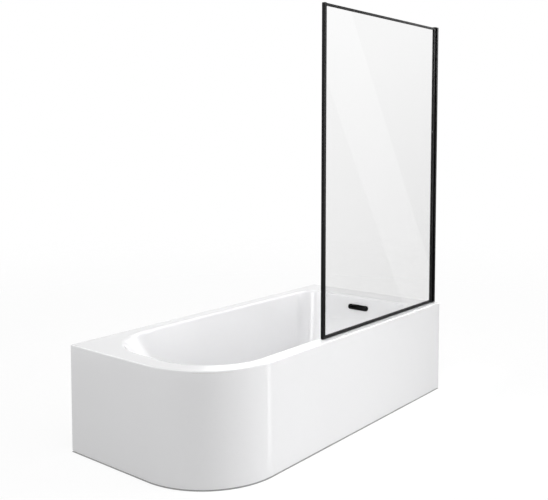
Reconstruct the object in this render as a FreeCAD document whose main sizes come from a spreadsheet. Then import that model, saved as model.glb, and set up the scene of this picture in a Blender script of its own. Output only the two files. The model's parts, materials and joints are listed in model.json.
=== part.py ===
import FreeCAD, Part
import math
import os

import Sketcher

# Shower bath: a corner bath with a curved one-piece apron, standing on levelling feet, and a framed
# glass screen that swings on a wall profile.
# Frame: +X along the bath to the wall that carries the screen, +Y to the wall behind, +Z up.
# The origin is on the floor, below the middle of the bath.

doc = FreeCAD.newDocument("shower_bath")

SIZES = {
    # bath shell
    "bath_length": "1700",
    "bath_width": "800",
    "bath_height": "450",
    "corner_radius": "335",
    "wall_corner_radius": "8",
    "rim_thickness": "8",
    "rim_edge_radius": "5",
    "rim_left": "82",
    "rim_right": "140",
    "rim_side": "68",
    "rim_roundover": "14",
    "underside_fillet": "8",
    "shell_wall": "6",
    "backrest_run": "300",
    "foot_run": "90",
    "side_run": "60",
    "basin_end_straight": "134",
    "basin_radius_right": "110",
    "floor_radius_left": "150",
    "floor_radius_right": "90",
    "floor_fillet": "70",
    "lip_height": "27",
    "lip_thickness": "5",
    # apron
    "apron_thickness": "5",
    "apron_floor_gap": "6",
    "apron_flange": "25",
    "apron_return": "30",
    "bond_line": "0.3",
    # timber under the shell
    "board_thickness": "16",
    "board_notch": "120",
    "batten_height": "30",
    "batten_depth": "25",
    "deck_board_thickness": "15",
    "deck_board_margin": "8",
    # legs
    "channel_width": "40",
    "channel_height": "25",
    "channel_sheet": "2.5",
    "leg_end_inset": "60",
    "foot_board_gap": "56.5",
    "channel_end": "26",
    "foot_radius": "25",
    "foot_height": "12",
    "foot_edge": "3",
    "foot_hub_radius": "9",
    "foot_hub_height": "10",
    "stud_radius": "5",
    "stud_projection": "25",
    "stud_sink": "6",
    "nut_radius": "9.5",
    "nut_height": "8",
    "thread_gap": "0.1",
    "screw_radius": "2",
    "screw_length": "12",
    "screw_head_radius": "4.5",
    "screw_head_height": "2.5",
    "screw_edge": "46",
    "stay_width": "34",
    "stay_sheet": "3",
    "stay_foot": "45",
    # overflow
    "overflow_drop": "55",
    "overflow_length": "122",
    "overflow_height": "28",
    "overflow_cover_depth": "7",
    "overflow_cover_edge": "2.5",
    "overflow_slot_length": "96",
    "overflow_slot_height": "9",
    "overflow_throat_wall": "1.5",
    "overflow_hole_play": "2",
    "overflow_gasket_thickness": "3",
    "overflow_body_depth": "36",
    "overflow_body_height": "40",
    "overflow_body_wall": "3",
    "pipe_radius": "16",
    "pipe_wall": "2",
    "pipe_bend": "70",
    "pipe_nut_radius": "22",
    "pipe_nut_length": "14",
    "socket_gap": "0.1",
    # waste and trap
    "waste_inset": "120",
    "waste_hole_radius": "25",
    "waste_recess": "2.5",
    "waste_recess_gap": "1.5",
    "waste_flange_radius": "36",
    "waste_flange_thickness": "3",
    "waste_tube_radius": "24",
    "waste_bore_radius": "20",
    "waste_tube_length": "34",
    "guide_radius": "8",
    "guide_length": "12",
    "spoke_thickness": "3",
    "waste_gasket_width": "13",
    "waste_gasket_thickness": "3",
    "waste_body_flange": "4",
    "waste_body_radius": "29",
    "waste_body_wall": "3",
    "inlet_reach": "52",
    "inlet_margin": "1",
    "inlet_wall": "3",
    "neck_radius": "22",
    "neck_wall": "2.5",
    "neck_length": "30",
    "trap_nut_radius": "33",
    "trap_nut_height": "6",
    "trap_radius": "40",
    "trap_wall": "3",
    "trap_floor_gap": "9",
    "outlet_rise": "22",
    "outlet_margin": "1",
    "outlet_radius": "20",
    "outlet_wall": "2",
    "outlet_socket_wall": "4",
    "outlet_socket_end": "95",
    "outlet_nut_radius": "29",
    "outlet_nut_length": "18",
    "outlet_entry": "35",
    "outlet_length": "265",
    "outlet_spigot": "50",
    "outlet_edge": "1.2",
    "outlet_mark_width": "2",
    "outlet_mark_depth": "0.4",
    # plug
    "plug_radius": "30",
    "plug_height": "6",
    "plug_edge": "4.5",
    "plug_seat_gap": "0.3",
    "plug_seal_radius": "27",
    "plug_seal_width": "5",
    "plug_seal_height": "1.5",
    "stem_radius": "4",
    "stem_length": "46",
    "running_gap": "0.05",
    # screen fixed to the wall
    "screen_width": "990",
    "screen_height": "1400",
    "screen_setback": "40",
    "profile_depth": "14",
    "profile_breadth": "22",
    "profile_wall": "1.8",
    "profile_web": "2",
    "wall_hole_radius": "2.75",
    "outer_hole_spacing": "1200",
    "inner_hole_spacing": "400",
    "access_hole_radius": "5",
    "post_projection": "2",
    "post_gap": "0.2",
    "post_wall": "1.8",
    "post_web_gap": "3",
    "clamp_screw_pitch": "560",
    "pivot_block_height": "3",
    "pivot_block_corner": "10.5",
    "pivot_offset": "8",
    "pin_radius": "3",
    "pin_reach": "24",
    # screen leaf
    "leaf_gap": "1",
    "frame_depth": "14",
    "hinge_stile_reach": "13",
    "hinge_stile_corner": "6.5",
    "free_stile_width": "16",
    "free_stile_corner": "2",
    "free_stile_wall": "2",
    "rail_height": "9",
    "groove_width": "10",
    "groove_depth": "6",
    "glass_thickness": "6",
    "glass_entry": "5",
    "gasket_lip": "1",
    "bush_radius": "4.5",
    "bush_length": "20",
    "bush_flange_radius": "6",
    "bush_flange_height": "0.7",
    "seal_width": "8",
    "seal_web": "2",
    "seal_fin": "1.5",
    "seal_clearance": "0.5",
    "cap_height": "1.5",
    # shared
    "overrun": "5",
    "match_tolerance": "0.01",
}

sheet = doc.addObject("Spreadsheet::Sheet", "Sizes")
for row, (alias, value) in enumerate(SIZES.items(), start=1):
    sheet.set(f"A{row}", alias)
    sheet.set(f"B{row}", value)
    sheet.setAlias(f"B{row}", alias)
doc.recompute()


class Size:
    """A size that carries its number and the sheet expression that gives it."""

    def __init__(self, number, text):
        self.number = number
        self.text = text

    def __add__(self, other):
        other = as_size(other)
        return Size(self.number + other.number, f"({self.text} + {other.text})")

    def __sub__(self, other):
        other = as_size(other)
        return Size(self.number - other.number, f"({self.text} - {other.text})")

    def __mul__(self, other):
        other = as_size(other)
        return Size(self.number * other.number, f"({self.text} * {other.text})")

    def __truediv__(self, other):
        other = as_size(other)
        return Size(self.number / other.number, f"({self.text} / {other.text})")

    def __rsub__(self, other):
        return as_size(other) - self

    def __radd__(self, other):
        return as_size(other) + self

    def __rmul__(self, other):
        return as_size(other) * self

    def __rtruediv__(self, other):
        return as_size(other) / self

    def __neg__(self):
        return Size(-self.number, f"(-1 * {self.text})")


def as_size(value):
    return value if isinstance(value, Size) else Size(float(value), repr(value))


def root(size):
    return Size(math.sqrt(size.number), f"sqrt({size.text})")


def slope_angle(run, rise):
    return Size(math.degrees(math.atan(run.number / rise.number)), f"atan({run.text} / {rise.text})")


class Sheet:
    """The sheet's cells as sizes, read by alias."""

    def __getattr__(self, alias):
        return Size(float(sheet.get(alias)), f"Sizes.{alias}")


D = Sheet()
NODES = []


# Document helpers

def node(obj, label):
    obj.Label = label
    NODES.append(obj)
    return obj


def bind(obj, prop, size):
    obj.setExpression(prop, as_size(size).text)


def place(obj, x=0, y=0, z=0):
    for axis, size in zip("xyz", (x, y, z)):
        bind(obj, f"Placement.Base.{axis}", size)
    return obj


def block(name, x, y, z):
    """A box between the low and high pair given for each axis."""
    obj = doc.addObject("Part::Box", name)
    for prop, (low, high) in zip(("Length", "Width", "Height"), (x, y, z)):
        bind(obj, prop, as_size(high) - low)
    return place(obj, x[0], y[0], z[0])


TURNS = {
    "X": FreeCAD.Rotation(FreeCAD.Vector(0, 1, 0), 90),
    "Y": FreeCAD.Rotation(FreeCAD.Vector(1, 0, 0), -90),
    "Z": FreeCAD.Rotation(),
}


def rod(name, axis, start, radius, length):
    """A cylinder that starts at a point and runs along an axis."""
    obj = doc.addObject("Part::Cylinder", name)
    bind(obj, "Radius", radius)
    bind(obj, "Height", length)
    obj.Placement = FreeCAD.Placement(FreeCAD.Vector(), TURNS[axis])
    return place(obj, *start)


def fuse(name, parts):
    obj = doc.addObject("Part::MultiFuse", name)
    obj.Shapes = parts
    return obj


def cut(name, base, tools):
    obj = doc.addObject("Part::Cut", name)
    obj.Base = base
    obj.Tool = tools[0] if len(tools) == 1 else fuse(f"{name}_tools", tools)
    return obj


def group(name, parts):
    obj = doc.addObject("Part::Compound", name)
    obj.Links = parts
    return obj


def tube(name, axis, start, outer, inner, length):
    """A round tube, with a bore that runs past both ends."""
    shift = [as_size(c) - (D.overrun if a == axis else 0) for a, c in zip("XYZ", start)]
    bore = rod(f"{name}_bore", axis, shift, inner, length + D.overrun * 2)
    return cut(name, rod(f"{name}_rod", axis, start, outer, length), [bore])


# Body and sketch helpers

def new_body(name):
    return doc.addObject("PartDesign::Body", name)


def drawing(body, plane, name, level=0):
    """A sketch on one of the body's origin planes, moved along the plane's normal."""
    sketch = body.newObject("Sketcher::SketchObject", name)
    support = [feature for feature in body.Origin.OriginFeatures if feature.Role == plane][0]
    sketch.AttachmentSupport = (support, [""])
    sketch.MapMode = "FlatFace"
    bind(sketch, "AttachmentOffset.Base.z", level)
    return sketch


def dimension(sketch, kind, targets, size):
    index = sketch.addConstraint(Sketcher.Constraint(kind, *targets, as_size(size).number))
    bind(sketch, f"Constraints[{index}]", size)


def hold(sketch, axis, element, point, size):
    """Hold a point's coordinate at a size, or on the axis itself where that is zero."""
    if as_size(size).number == 0:
        sketch.addConstraint(Sketcher.Constraint("PointOnObject", element, point, -2 if axis == "X" else -1))
    else:
        dimension(sketch, f"Distance{axis}", (-1, 1, element, point), size)


def circle(sketch, x, y, radius):
    centre = FreeCAD.Vector(as_size(x).number, as_size(y).number, 0)
    ring = Part.Circle(centre, FreeCAD.Vector(0, 0, 1), as_size(radius).number)
    element = sketch.addGeometry(ring, False)
    hold(sketch, "X", element, 3, x)
    hold(sketch, "Y", element, 3, y)
    dimension(sketch, "Radius", (element,), radius)


def arc_between(sketch, start, end, centre, left_turn):
    """An arc from start to end; returns its element and the ends that meet start and end."""
    first, last = (start, end) if left_turn else (end, start)
    angles = [math.atan2(p.y - centre.y, p.x - centre.x) for p in (first, last)]
    ring = Part.Circle(centre, FreeCAD.Vector(0, 0, 1), (start - centre).Length)
    element = sketch.addGeometry(Part.ArcOfCircle(ring, *angles), False)
    return element, (1, 2) if left_turn else (2, 1)


def outline(sketch, corners):
    """A closed outline of level and upright lines through corners (x, y) or (x, y, radius)."""
    count = len(corners)
    points = [FreeCAD.Vector(as_size(c[0]).number, as_size(c[1]).number, 0) for c in corners]
    radii = [as_size(c[2]).number if len(c) > 2 else 0 for c in corners]
    ways = [(points[(i + 1) % count] - points[i]).normalize() for i in range(count)]
    arrive = [points[i] - ways[i - 1] * radii[i] for i in range(count)]
    leave = [points[i] + ways[i] * radii[i] for i in range(count)]
    lines = []
    for i in range(count):
        line = Part.LineSegment(leave[i], arrive[(i + 1) % count])
        lines.append(sketch.addGeometry(line, False))
    for i in range(count):
        if radii[i]:
            centre = arrive[i] + ways[i] * radii[i]
            left_turn = ways[i - 1].cross(ways[i]).z > 0
            arc, ends = arc_between(sketch, arrive[i], leave[i], centre, left_turn)
            sketch.addConstraint(Sketcher.Constraint("Tangent", lines[i - 1], 2, arc, ends[0]))
            sketch.addConstraint(Sketcher.Constraint("Tangent", arc, ends[1], lines[i], 1))
            dimension(sketch, "Radius", (arc,), corners[i][2])
        else:
            sketch.addConstraint(Sketcher.Constraint("Coincident", lines[i - 1], 2, lines[i], 1))
    for i in range(count):
        level = abs(ways[i].x) > abs(ways[i].y)
        sketch.addConstraint(Sketcher.Constraint("Horizontal" if level else "Vertical", lines[i]))
        hold(sketch, "Y" if level else "X", lines[i], 1, corners[i][1] if level else corners[i][0])


def oblong(sketch, length, height):
    """A slot shape about the sketch's origin, with round ends."""
    reach = (length - height).number / 2
    half = height.number / 2
    corner = FreeCAD.Vector
    top = sketch.addGeometry(Part.LineSegment(corner(reach, half, 0), corner(-reach, half, 0)), False)
    bottom = sketch.addGeometry(Part.LineSegment(corner(-reach, -half, 0), corner(reach, -half, 0)), False)
    left, left_ends = arc_between(sketch, corner(-reach, half, 0), corner(-reach, -half, 0),
                                  corner(-reach, 0, 0), True)
    right, right_ends = arc_between(sketch, corner(reach, -half, 0), corner(reach, half, 0),
                                    corner(reach, 0, 0), True)
    for line, point, arc, end in ((top, 2, left, left_ends[0]), (bottom, 1, left, left_ends[1]),
                                  (bottom, 2, right, right_ends[0]), (top, 1, right, right_ends[1])):
        sketch.addConstraint(Sketcher.Constraint("Tangent", line, point, arc, end))
    sketch.addConstraint(Sketcher.Constraint("Horizontal", top))
    hold(sketch, "Y", right, 3, 0)
    hold(sketch, "X", right, 3, (length - height) / 2)
    hold(sketch, "X", left, 3, (height - length) / 2)
    dimension(sketch, "Radius", (right,), height / 2)


def feature(body, kind, name, profile=None):
    obj = body.newObject(f"PartDesign::{kind}", name)
    if profile is not None:
        obj.Profile = profile
    return obj


def pad(body, sketch, length, back=False):
    obj = feature(body, "Pad", f"{sketch.Name}_pad", sketch)
    bind(obj, "Length", length)
    obj.Reversed = back
    return obj


def pocket(body, sketch, length, back=False):
    obj = feature(body, "Pocket", f"{sketch.Name}_pocket", sketch)
    bind(obj, "Length", length)
    obj.Reversed = back
    return obj


def loft(body, kind, name, first, last):
    obj = feature(body, kind, name, first)
    obj.Sections = [last]
    obj.Ruled = True
    return obj


def fillet(body, name, base, radius, wanted):
    """Round the base feature's edges that the test picks out."""
    doc.recompute()
    edges = [f"Edge{i}" for i, edge in enumerate(base.Shape.Edges, start=1) if wanted(edge)]
    obj = feature(body, "Fillet", name)
    obj.Base = (base, edges)
    bind(obj, "Radius", radius)
    return obj


def turned(name, corners):
    """A body turned about the Z axis from a half section in (radius, height)."""
    body = new_body(name)
    sketch = drawing(body, "XZ_Plane", f"{name}_section")
    outline(sketch, corners)
    obj = feature(body, "Revolution", f"{name}_turn", sketch)
    obj.ReferenceAxis = (sketch, ["V_Axis"])
    return body


def ring_section(outer, inner, low, high):
    return [(inner, low), (outer, low), (outer, high), (inner, high)]


def extrusion(name, plane, level, length, corners):
    """A body padded from one outline."""
    body = new_body(name)
    sketch = drawing(body, plane, f"{name}_section", level)
    outline(sketch, corners)
    pad(body, sketch, length)
    return body


def rectangle(x, y, radii=None):
    """Corners of a rectangle: front left, front right, back right, back left."""
    corners = [(x[0], y[0]), (x[1], y[0]), (x[1], y[1]), (x[0], y[1])]
    return corners if radii is None else [(*c, r) for c, r in zip(corners, radii)]


def near(value, size):
    return abs(value - as_size(size).number) < D.match_tolerance.number


def lies_at(size):
    """A test for edges that lie in the level plane at a height."""
    def test(edge):
        flat = near(edge.BoundBox.ZLength, 0)
        return flat and near(edge.BoundBox.ZMax, size)
    return test


def lies_within(size, x, y):
    """A test for edges in a level plane whose ends and middle keep inside a rectangle."""
    level = lies_at(size)
    slack = D.match_tolerance.number

    def test(edge):
        spots = [edge.valueAt(edge.FirstParameter), edge.valueAt(edge.LastParameter), edge.CenterOfMass]
        return level(edge) and all(
            x[0].number - slack < p.x < x[1].number + slack
            and y[0].number - slack < p.y < y[1].number + slack
            for p in spots
        )
    return test


# Places shared by several pieces

half_length = D.bath_length / 2
half_width = D.bath_width / 2
deck_under = D.bath_height - D.rim_thickness

# The floor of the basin stands as high as the trap and the waste below it need
outlet_z = D.trap_floor_gap + D.outlet_rise
trap_top = outlet_z + D.outlet_radius + D.outlet_socket_wall + D.outlet_margin
body_end = trap_top + D.trap_nut_height
inlet_z = body_end + D.inlet_margin + D.inlet_wall + D.pipe_radius
body_top = inlet_z + D.pipe_radius + D.inlet_wall + D.inlet_margin + D.waste_body_flange
floor_under = body_top + D.waste_gasket_thickness
floor_top = floor_under + D.shell_wall

basin_depth = D.bath_height - floor_top
basin_x = (-half_length + D.rim_left, half_length - D.rim_right)
basin_y = (-half_width + D.rim_side, half_width - D.rim_side)
floor_x = (basin_x[0] + D.backrest_run, basin_x[1] - D.foot_run)
floor_y = (basin_y[0] + D.side_run, basin_y[1] - D.side_run)
basin_radius_left = (basin_y[1] - basin_y[0] - D.basin_end_straight) / 2
lip_inset = D.apron_thickness + D.bond_line
lip_inner = lip_inset + D.lip_thickness
waste_x = floor_x[1] - D.waste_inset


# Bath shell: rim deck, lofted basin and a turned-down lip

def basin_sections(wall):
    """Outlines of the basin at the rim and at the floor, grown by a wall measured level."""
    def at_floor(run):
        return wall * (1 - run / basin_depth)
    top_radii = [basin_radius_left + wall, D.basin_radius_right + wall]
    left = D.floor_radius_left + at_floor(basin_radius_left - D.floor_radius_left)
    right = D.floor_radius_right + at_floor(D.basin_radius_right - D.floor_radius_right)
    top = rectangle((basin_x[0] - wall, basin_x[1] + wall), (basin_y[0] - wall, basin_y[1] + wall),
                    (top_radii[0], top_radii[1], top_radii[1], top_radii[0]))
    bottom = rectangle((floor_x[0] - at_floor(D.backrest_run), floor_x[1] + at_floor(D.foot_run)),
                       (floor_y[0] - at_floor(D.side_run), floor_y[1] + at_floor(D.side_run)),
                       (left, right, right, left))
    return top, bottom


def bath_outline(inset):
    """The bath's plan, drawn in by an inset: a wide front left corner and three small ones."""
    x = (-half_length + inset, half_length - inset)
    y = (-half_width + inset, half_width - inset)
    small = D.wall_corner_radius
    return rectangle(x, y, (D.corner_radius - inset, small, small, small))


def bath_shell():
    body = new_body("shell")
    rim = drawing(body, "XY_Plane", "rim_plan", deck_under)
    outline(rim, bath_outline(0))
    deck = pad(body, rim, D.rim_thickness)
    fillet(body, "rim_edge", deck, D.rim_edge_radius, lies_at(D.bath_height))

    grown_top, grown_floor = basin_sections(D.shell_wall)
    hull_top = drawing(body, "XY_Plane", "hull_top", D.bath_height)
    outline(hull_top, grown_top)
    hull_floor = drawing(body, "XY_Plane", "hull_floor", floor_under)
    outline(hull_floor, grown_floor)
    loft(body, "AdditiveLoft", "hull", hull_top, hull_floor)

    top, bottom = basin_sections(as_size(0))
    well_top = drawing(body, "XY_Plane", "well_top", D.bath_height)
    outline(well_top, top)
    well_floor = drawing(body, "XY_Plane", "well_floor", floor_top)
    outline(well_floor, bottom)
    well = loft(body, "SubtractiveLoft", "well", well_top, well_floor)

    inside = fillet(body, "well_round", well, D.floor_fillet, lies_at(floor_top))
    outside = fillet(body, "hull_round", inside, D.floor_fillet + D.shell_wall, lies_at(floor_under))
    roundover = fillet(body, "roundover", outside, D.rim_roundover,
                       lies_within(D.bath_height, basin_x, basin_y))
    grown_x = (basin_x[0] - D.shell_wall, basin_x[1] + D.shell_wall)
    grown_y = (basin_y[0] - D.shell_wall, basin_y[1] + D.shell_wall)
    fillet(body, "underside", roundover, D.underside_fillet, lies_within(deck_under, grown_x, grown_y))

    lip = drawing(body, "XY_Plane", "lip_plan", deck_under)
    outline(lip, bath_outline(lip_inset))
    outline(lip, bath_outline(lip_inner))
    pad(body, lip, D.lip_height, back=True)

    recess = drawing(body, "XY_Plane", "waste_recess", floor_top)
    circle(recess, waste_x, 0, D.waste_flange_radius + D.waste_recess_gap)
    pocket(body, recess, D.waste_recess)
    hole = drawing(body, "XY_Plane", "waste_hole", floor_top)
    circle(hole, waste_x, 0, D.waste_hole_radius)
    pocket(body, hole, D.shell_wall + D.overrun)

    slot = drawing(body, "YZ_Plane", "overflow_hole", basin_x[1] + D.shell_wall)
    bind(slot, "AttachmentOffset.Base.y", D.bath_height - D.overflow_drop)
    play = (D.overflow_throat_wall + D.overflow_hole_play) * 2
    oblong(slot, D.overflow_slot_length + play, D.overflow_slot_height + play)
    pocket(body, slot, D.rim_right)
    return node(body, "bath_shell")


def apron_panel():
    """A bent sheet under the rim: the front, the wide corner and the left end, with end returns."""
    body = new_body("apron")
    plan = drawing(body, "XY_Plane", "apron_plan", D.apron_floor_gap)
    wall = D.apron_thickness
    inner_radius = D.wall_corner_radius - wall
    outline(plan, [
        (half_length, -half_width + D.apron_return),
        (half_length - wall, -half_width + D.apron_return),
        (half_length - wall, -half_width + wall, inner_radius),
        (-half_length + wall, -half_width + wall, D.corner_radius - wall),
        (-half_length + wall, half_width - wall, inner_radius),
        (-half_length + D.apron_return, half_width - wall),
        (-half_length + D.apron_return, half_width),
        (-half_length, half_width, D.wall_corner_radius),
        (-half_length, -half_width, D.corner_radius),
        (half_length, -half_width, D.wall_corner_radius),
    ])
    pad(body, plan, deck_under - D.apron_floor_gap)
    flange = drawing(body, "XY_Plane", "apron_flange", D.apron_floor_gap)
    reach = D.apron_flange
    overlap = wall / 2
    outline(flange, [
        (half_length - overlap, -half_width + overlap),
        (half_length - overlap, -half_width + reach),
        (-half_length + reach, -half_width + reach, D.corner_radius - reach),
        (-half_length + reach, half_width - overlap),
        (-half_length + overlap, half_width - overlap),
        (-half_length + overlap, -half_width + overlap, D.corner_radius - overlap),
    ])
    pad(body, flange, wall)
    return node(body, "apron_panel")


# Timber bonded under the shell

flat_inset = D.floor_fillet + D.shell_wall
board_x = (floor_x[0] + flat_inset, floor_x[1] - flat_inset)
board_y = (floor_y[0] + flat_inset, floor_y[1] - flat_inset)
board_under = floor_under - D.board_thickness
notch_start = waste_x - D.board_notch / 2


def base_board():
    body = new_body("board")
    plan = drawing(body, "XY_Plane", "board_plan", board_under)
    notch = D.board_notch / 2
    outline(plan, [
        (board_x[0], board_y[0]), (board_x[1], board_y[0]), (board_x[1], -notch), (notch_start, -notch),
        (notch_start, notch), (board_x[1], notch), (board_x[1], board_y[1]), (board_x[0], board_y[1]),
    ])
    pad(body, plan, D.board_thickness)
    return node(body, "base_board")


def rim_timber():
    """Battens under the long rims, and a board under the wide end deck."""
    run = (basin_x[0] + basin_radius_left, basin_x[1] - D.basin_radius_right)
    height = (deck_under - D.batten_height, deck_under)
    hull_side = basin_y[1] + D.shell_wall + D.underside_fillet
    middle = (hull_side + half_width - lip_inner) / 2
    for label, centre in (("rim_batten_back", middle), ("rim_batten_front", -middle)):
        depth = (centre - D.batten_depth / 2, centre + D.batten_depth / 2)
        node(block(label, run, depth, height), label)
    hull_end = basin_x[1] + D.shell_wall + D.underside_fillet
    across = (hull_end + D.deck_board_margin, half_length - lip_inner - D.deck_board_margin)
    along = (basin_y[0] + D.basin_radius_right, basin_y[1] - D.basin_radius_right)
    height = (deck_under - D.deck_board_thickness, deck_under)
    node(block("deck_board", across, along, height), "deck_board")


# Legs

leg_left = board_x[0] + D.leg_end_inset
leg_right = notch_start - D.leg_end_inset
LEGS = {"left": leg_left, "middle": (leg_left + leg_right) / 2, "right": leg_right}
foot_y = board_y[1] + D.nut_radius + D.foot_board_gap
SIDES = {"front": -foot_y, "back": foot_y}
screw_y = board_y[1] - D.screw_edge
SCREW_SIDES = {"front": -screw_y, "back": screw_y}
channel_under = board_under - D.channel_sheet
channel_low = board_under - D.channel_height


def leg_channel(name, x):
    """A pressed channel across the bath, open below, bored for two studs and its wood screws."""
    body = new_body(f"channel_{name}")
    reach = foot_y + D.channel_end
    section = drawing(body, "XZ_Plane", f"channel_{name}_section", -reach)
    half = D.channel_width / 2
    outline(section, [
        (x - half, channel_low), (x - half + D.channel_sheet, channel_low),
        (x - half + D.channel_sheet, channel_under), (x + half - D.channel_sheet, channel_under),
        (x + half - D.channel_sheet, channel_low), (x + half, channel_low),
        (x + half, board_under), (x - half, board_under),
    ])
    pad(body, section, reach * 2)
    holes = drawing(body, "XY_Plane", f"channel_{name}_holes", board_under)
    for y in SIDES.values():
        circle(holes, x, y, D.stud_radius + D.thread_gap)
    for y in SCREW_SIDES.values():
        circle(holes, x, y, D.screw_radius + D.thread_gap)
    pocket(body, holes, D.channel_sheet + D.overrun)
    return node(body, f"leg_channel_{name}")


def channel_screws():
    screws = []
    for name, x in LEGS.items():
        for side, y in SCREW_SIDES.items():
            label = f"screw_{name}_{side}"
            shank = rod(f"{label}_shank", "Z", (x, y, channel_under), D.screw_radius,
                        D.channel_sheet + D.screw_length)
            head = rod(f"{label}_head", "Z", (x, y, channel_under - D.screw_head_height),
                       D.screw_head_radius, D.screw_head_height)
            screws.append(fuse(label, [head, shank]))
    return node(group("screws", screws), "channel_screws")


def foot_nuts():
    """A lock nut above and below the channel on each stud."""
    nuts = []
    for name, x in LEGS.items():
        for side, y in SIDES.items():
            for level, z in (("upper", board_under), ("lower", channel_under - D.nut_height)):
                label = f"nut_{name}_{side}_{level}"
                hexagon = doc.addObject("Part::Prism", f"{label}_hexagon")
                bind(hexagon, "Circumradius", D.nut_radius)
                bind(hexagon, "Height", D.nut_height)
                place(hexagon, x, y, z)
                bore = rod(f"{label}_bore", "Z", (x, y, z - D.overrun), D.stud_radius + D.thread_gap,
                           D.nut_height + D.overrun * 2)
                nuts.append(cut(label, hexagon, [bore]))
    return node(group("nuts", nuts), "foot_nuts")


def foot(name, side, x, y):
    """A levelling foot: a moulded pad that holds a threaded stud."""
    hub_top = D.foot_height + D.foot_hub_height
    pad_body = turned(f"pad_{name}_{side}", [
        (0, 0), (D.foot_radius, 0), (D.foot_radius, D.foot_height, D.foot_edge),
        (D.foot_hub_radius, D.foot_height), (D.foot_hub_radius, hub_top), (D.stud_radius, hub_top),
        (D.stud_radius, D.stud_sink), (0, D.stud_sink),
    ])
    place(pad_body, x, y, 0)
    node(pad_body, f"foot_pad_{name}_{side}")
    stud_length = board_under + D.stud_projection - D.stud_sink
    stud = rod(f"stud_{name}_{side}", "Z", (x, y, D.stud_sink), D.stud_radius, stud_length)
    node(stud, f"foot_stud_{name}_{side}")


def apron_stay(name, x):
    """A bent strip from under the channel's web down to the apron's lower flange."""
    flange_top = D.apron_floor_gap + D.apron_thickness
    front = -half_width + D.apron_thickness + D.bond_line
    heel = front + D.stay_foot
    end = -(foot_y + D.nut_radius + D.stay_sheet)
    stay_top = channel_under - D.stay_sheet
    body = extrusion(f"stay_{name}", "YZ_Plane", x - D.stay_width / 2, D.stay_width, [
        (front, flange_top), (heel, flange_top), (heel, stay_top), (end, stay_top), (end, channel_under),
        (heel - D.stay_sheet, channel_under), (heel - D.stay_sheet, flange_top + D.stay_sheet),
        (front, flange_top + D.stay_sheet),
    ])
    return node(body, f"apron_stay_{name}")


# Overflow, on the sloping end wall of the basin

end_slope = D.foot_run / basin_depth
slope_length = root(1 + end_slope * end_slope)
overflow_z = D.bath_height - D.overflow_drop
overflow_x = basin_x[1] - D.overflow_drop * end_slope
wall_normal = D.shell_wall / slope_length
body_start = wall_normal + D.overflow_gasket_thickness
body_middle = body_start + D.overflow_body_depth / 2
throat_walls = D.overflow_throat_wall * 2


def lean(body):
    """Set a body, drawn square to the end wall with +X outwards, on the wall at the overflow."""
    angle = slope_angle(D.foot_run, basin_depth)
    turn = FreeCAD.Rotation(FreeCAD.Vector(0, 1, 0), angle.number)
    body.Placement = FreeCAD.Placement(FreeCAD.Vector(), turn)
    bind(body, "Placement.Rotation.Angle", angle)
    return place(body, overflow_x, 0, overflow_z)


def overflow_cover():
    """The slim bar with round ends, slotted along its middle, with a throat that lines the hole behind it."""
    body = new_body("cover")
    face = drawing(body, "YZ_Plane", "cover_face", -D.overflow_cover_depth)
    oblong(face, D.overflow_length, D.overflow_height)
    bar = pad(body, face, D.overflow_cover_depth)

    def front_edge(edge):
        return near(edge.BoundBox.XMax, -D.overflow_cover_depth)
    fillet(body, "cover_round", bar, D.overflow_cover_edge, front_edge)
    throat = drawing(body, "YZ_Plane", "cover_throat", 0)
    oblong(throat, D.overflow_slot_length + throat_walls, D.overflow_slot_height + throat_walls)
    pad(body, throat, wall_normal)
    slot = drawing(body, "YZ_Plane", "cover_slot", wall_normal + D.overrun)
    oblong(slot, D.overflow_slot_length, D.overflow_slot_height)
    pocket(body, slot, wall_normal + D.overflow_cover_depth + D.overrun * 2)
    return node(lean(body), "overflow_cover")


def overflow_gasket():
    body = new_body("overflow_ring")
    face = drawing(body, "YZ_Plane", "overflow_ring_face", wall_normal)
    oblong(face, D.overflow_length, D.overflow_body_height)
    oblong(face, D.overflow_slot_length + throat_walls, D.overflow_slot_height + throat_walls)
    pad(body, face, D.overflow_gasket_thickness)
    return node(lean(body), "overflow_gasket")


def overflow_body():
    """A chamber behind the wall, open to the slot, with a socket below for the pipe."""
    body = new_body("overflow_chamber")
    face = drawing(body, "YZ_Plane", "chamber_face", body_start)
    oblong(face, D.overflow_length, D.overflow_body_height)
    pad(body, face, D.overflow_body_depth)
    spout = drawing(body, "XY_Plane", "chamber_spout", 0)
    circle(spout, body_middle, 0, D.pipe_radius + D.overflow_body_wall - D.pipe_wall)
    pad(body, spout, D.overflow_body_height / 2 + D.pipe_nut_length, back=True)
    hollow = drawing(body, "YZ_Plane", "chamber_hollow", body_start)
    wall = D.overflow_body_wall * 2
    oblong(hollow, D.overflow_length - wall, D.overflow_body_height - wall)
    pocket(body, hollow, D.overflow_body_depth - D.overflow_body_wall, back=True)
    bore = drawing(body, "XY_Plane", "chamber_bore", 0)
    circle(bore, body_middle, 0, D.pipe_radius - D.pipe_wall)
    pocket(body, bore, D.overflow_body_height)
    return node(lean(body), "overflow_body")


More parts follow.
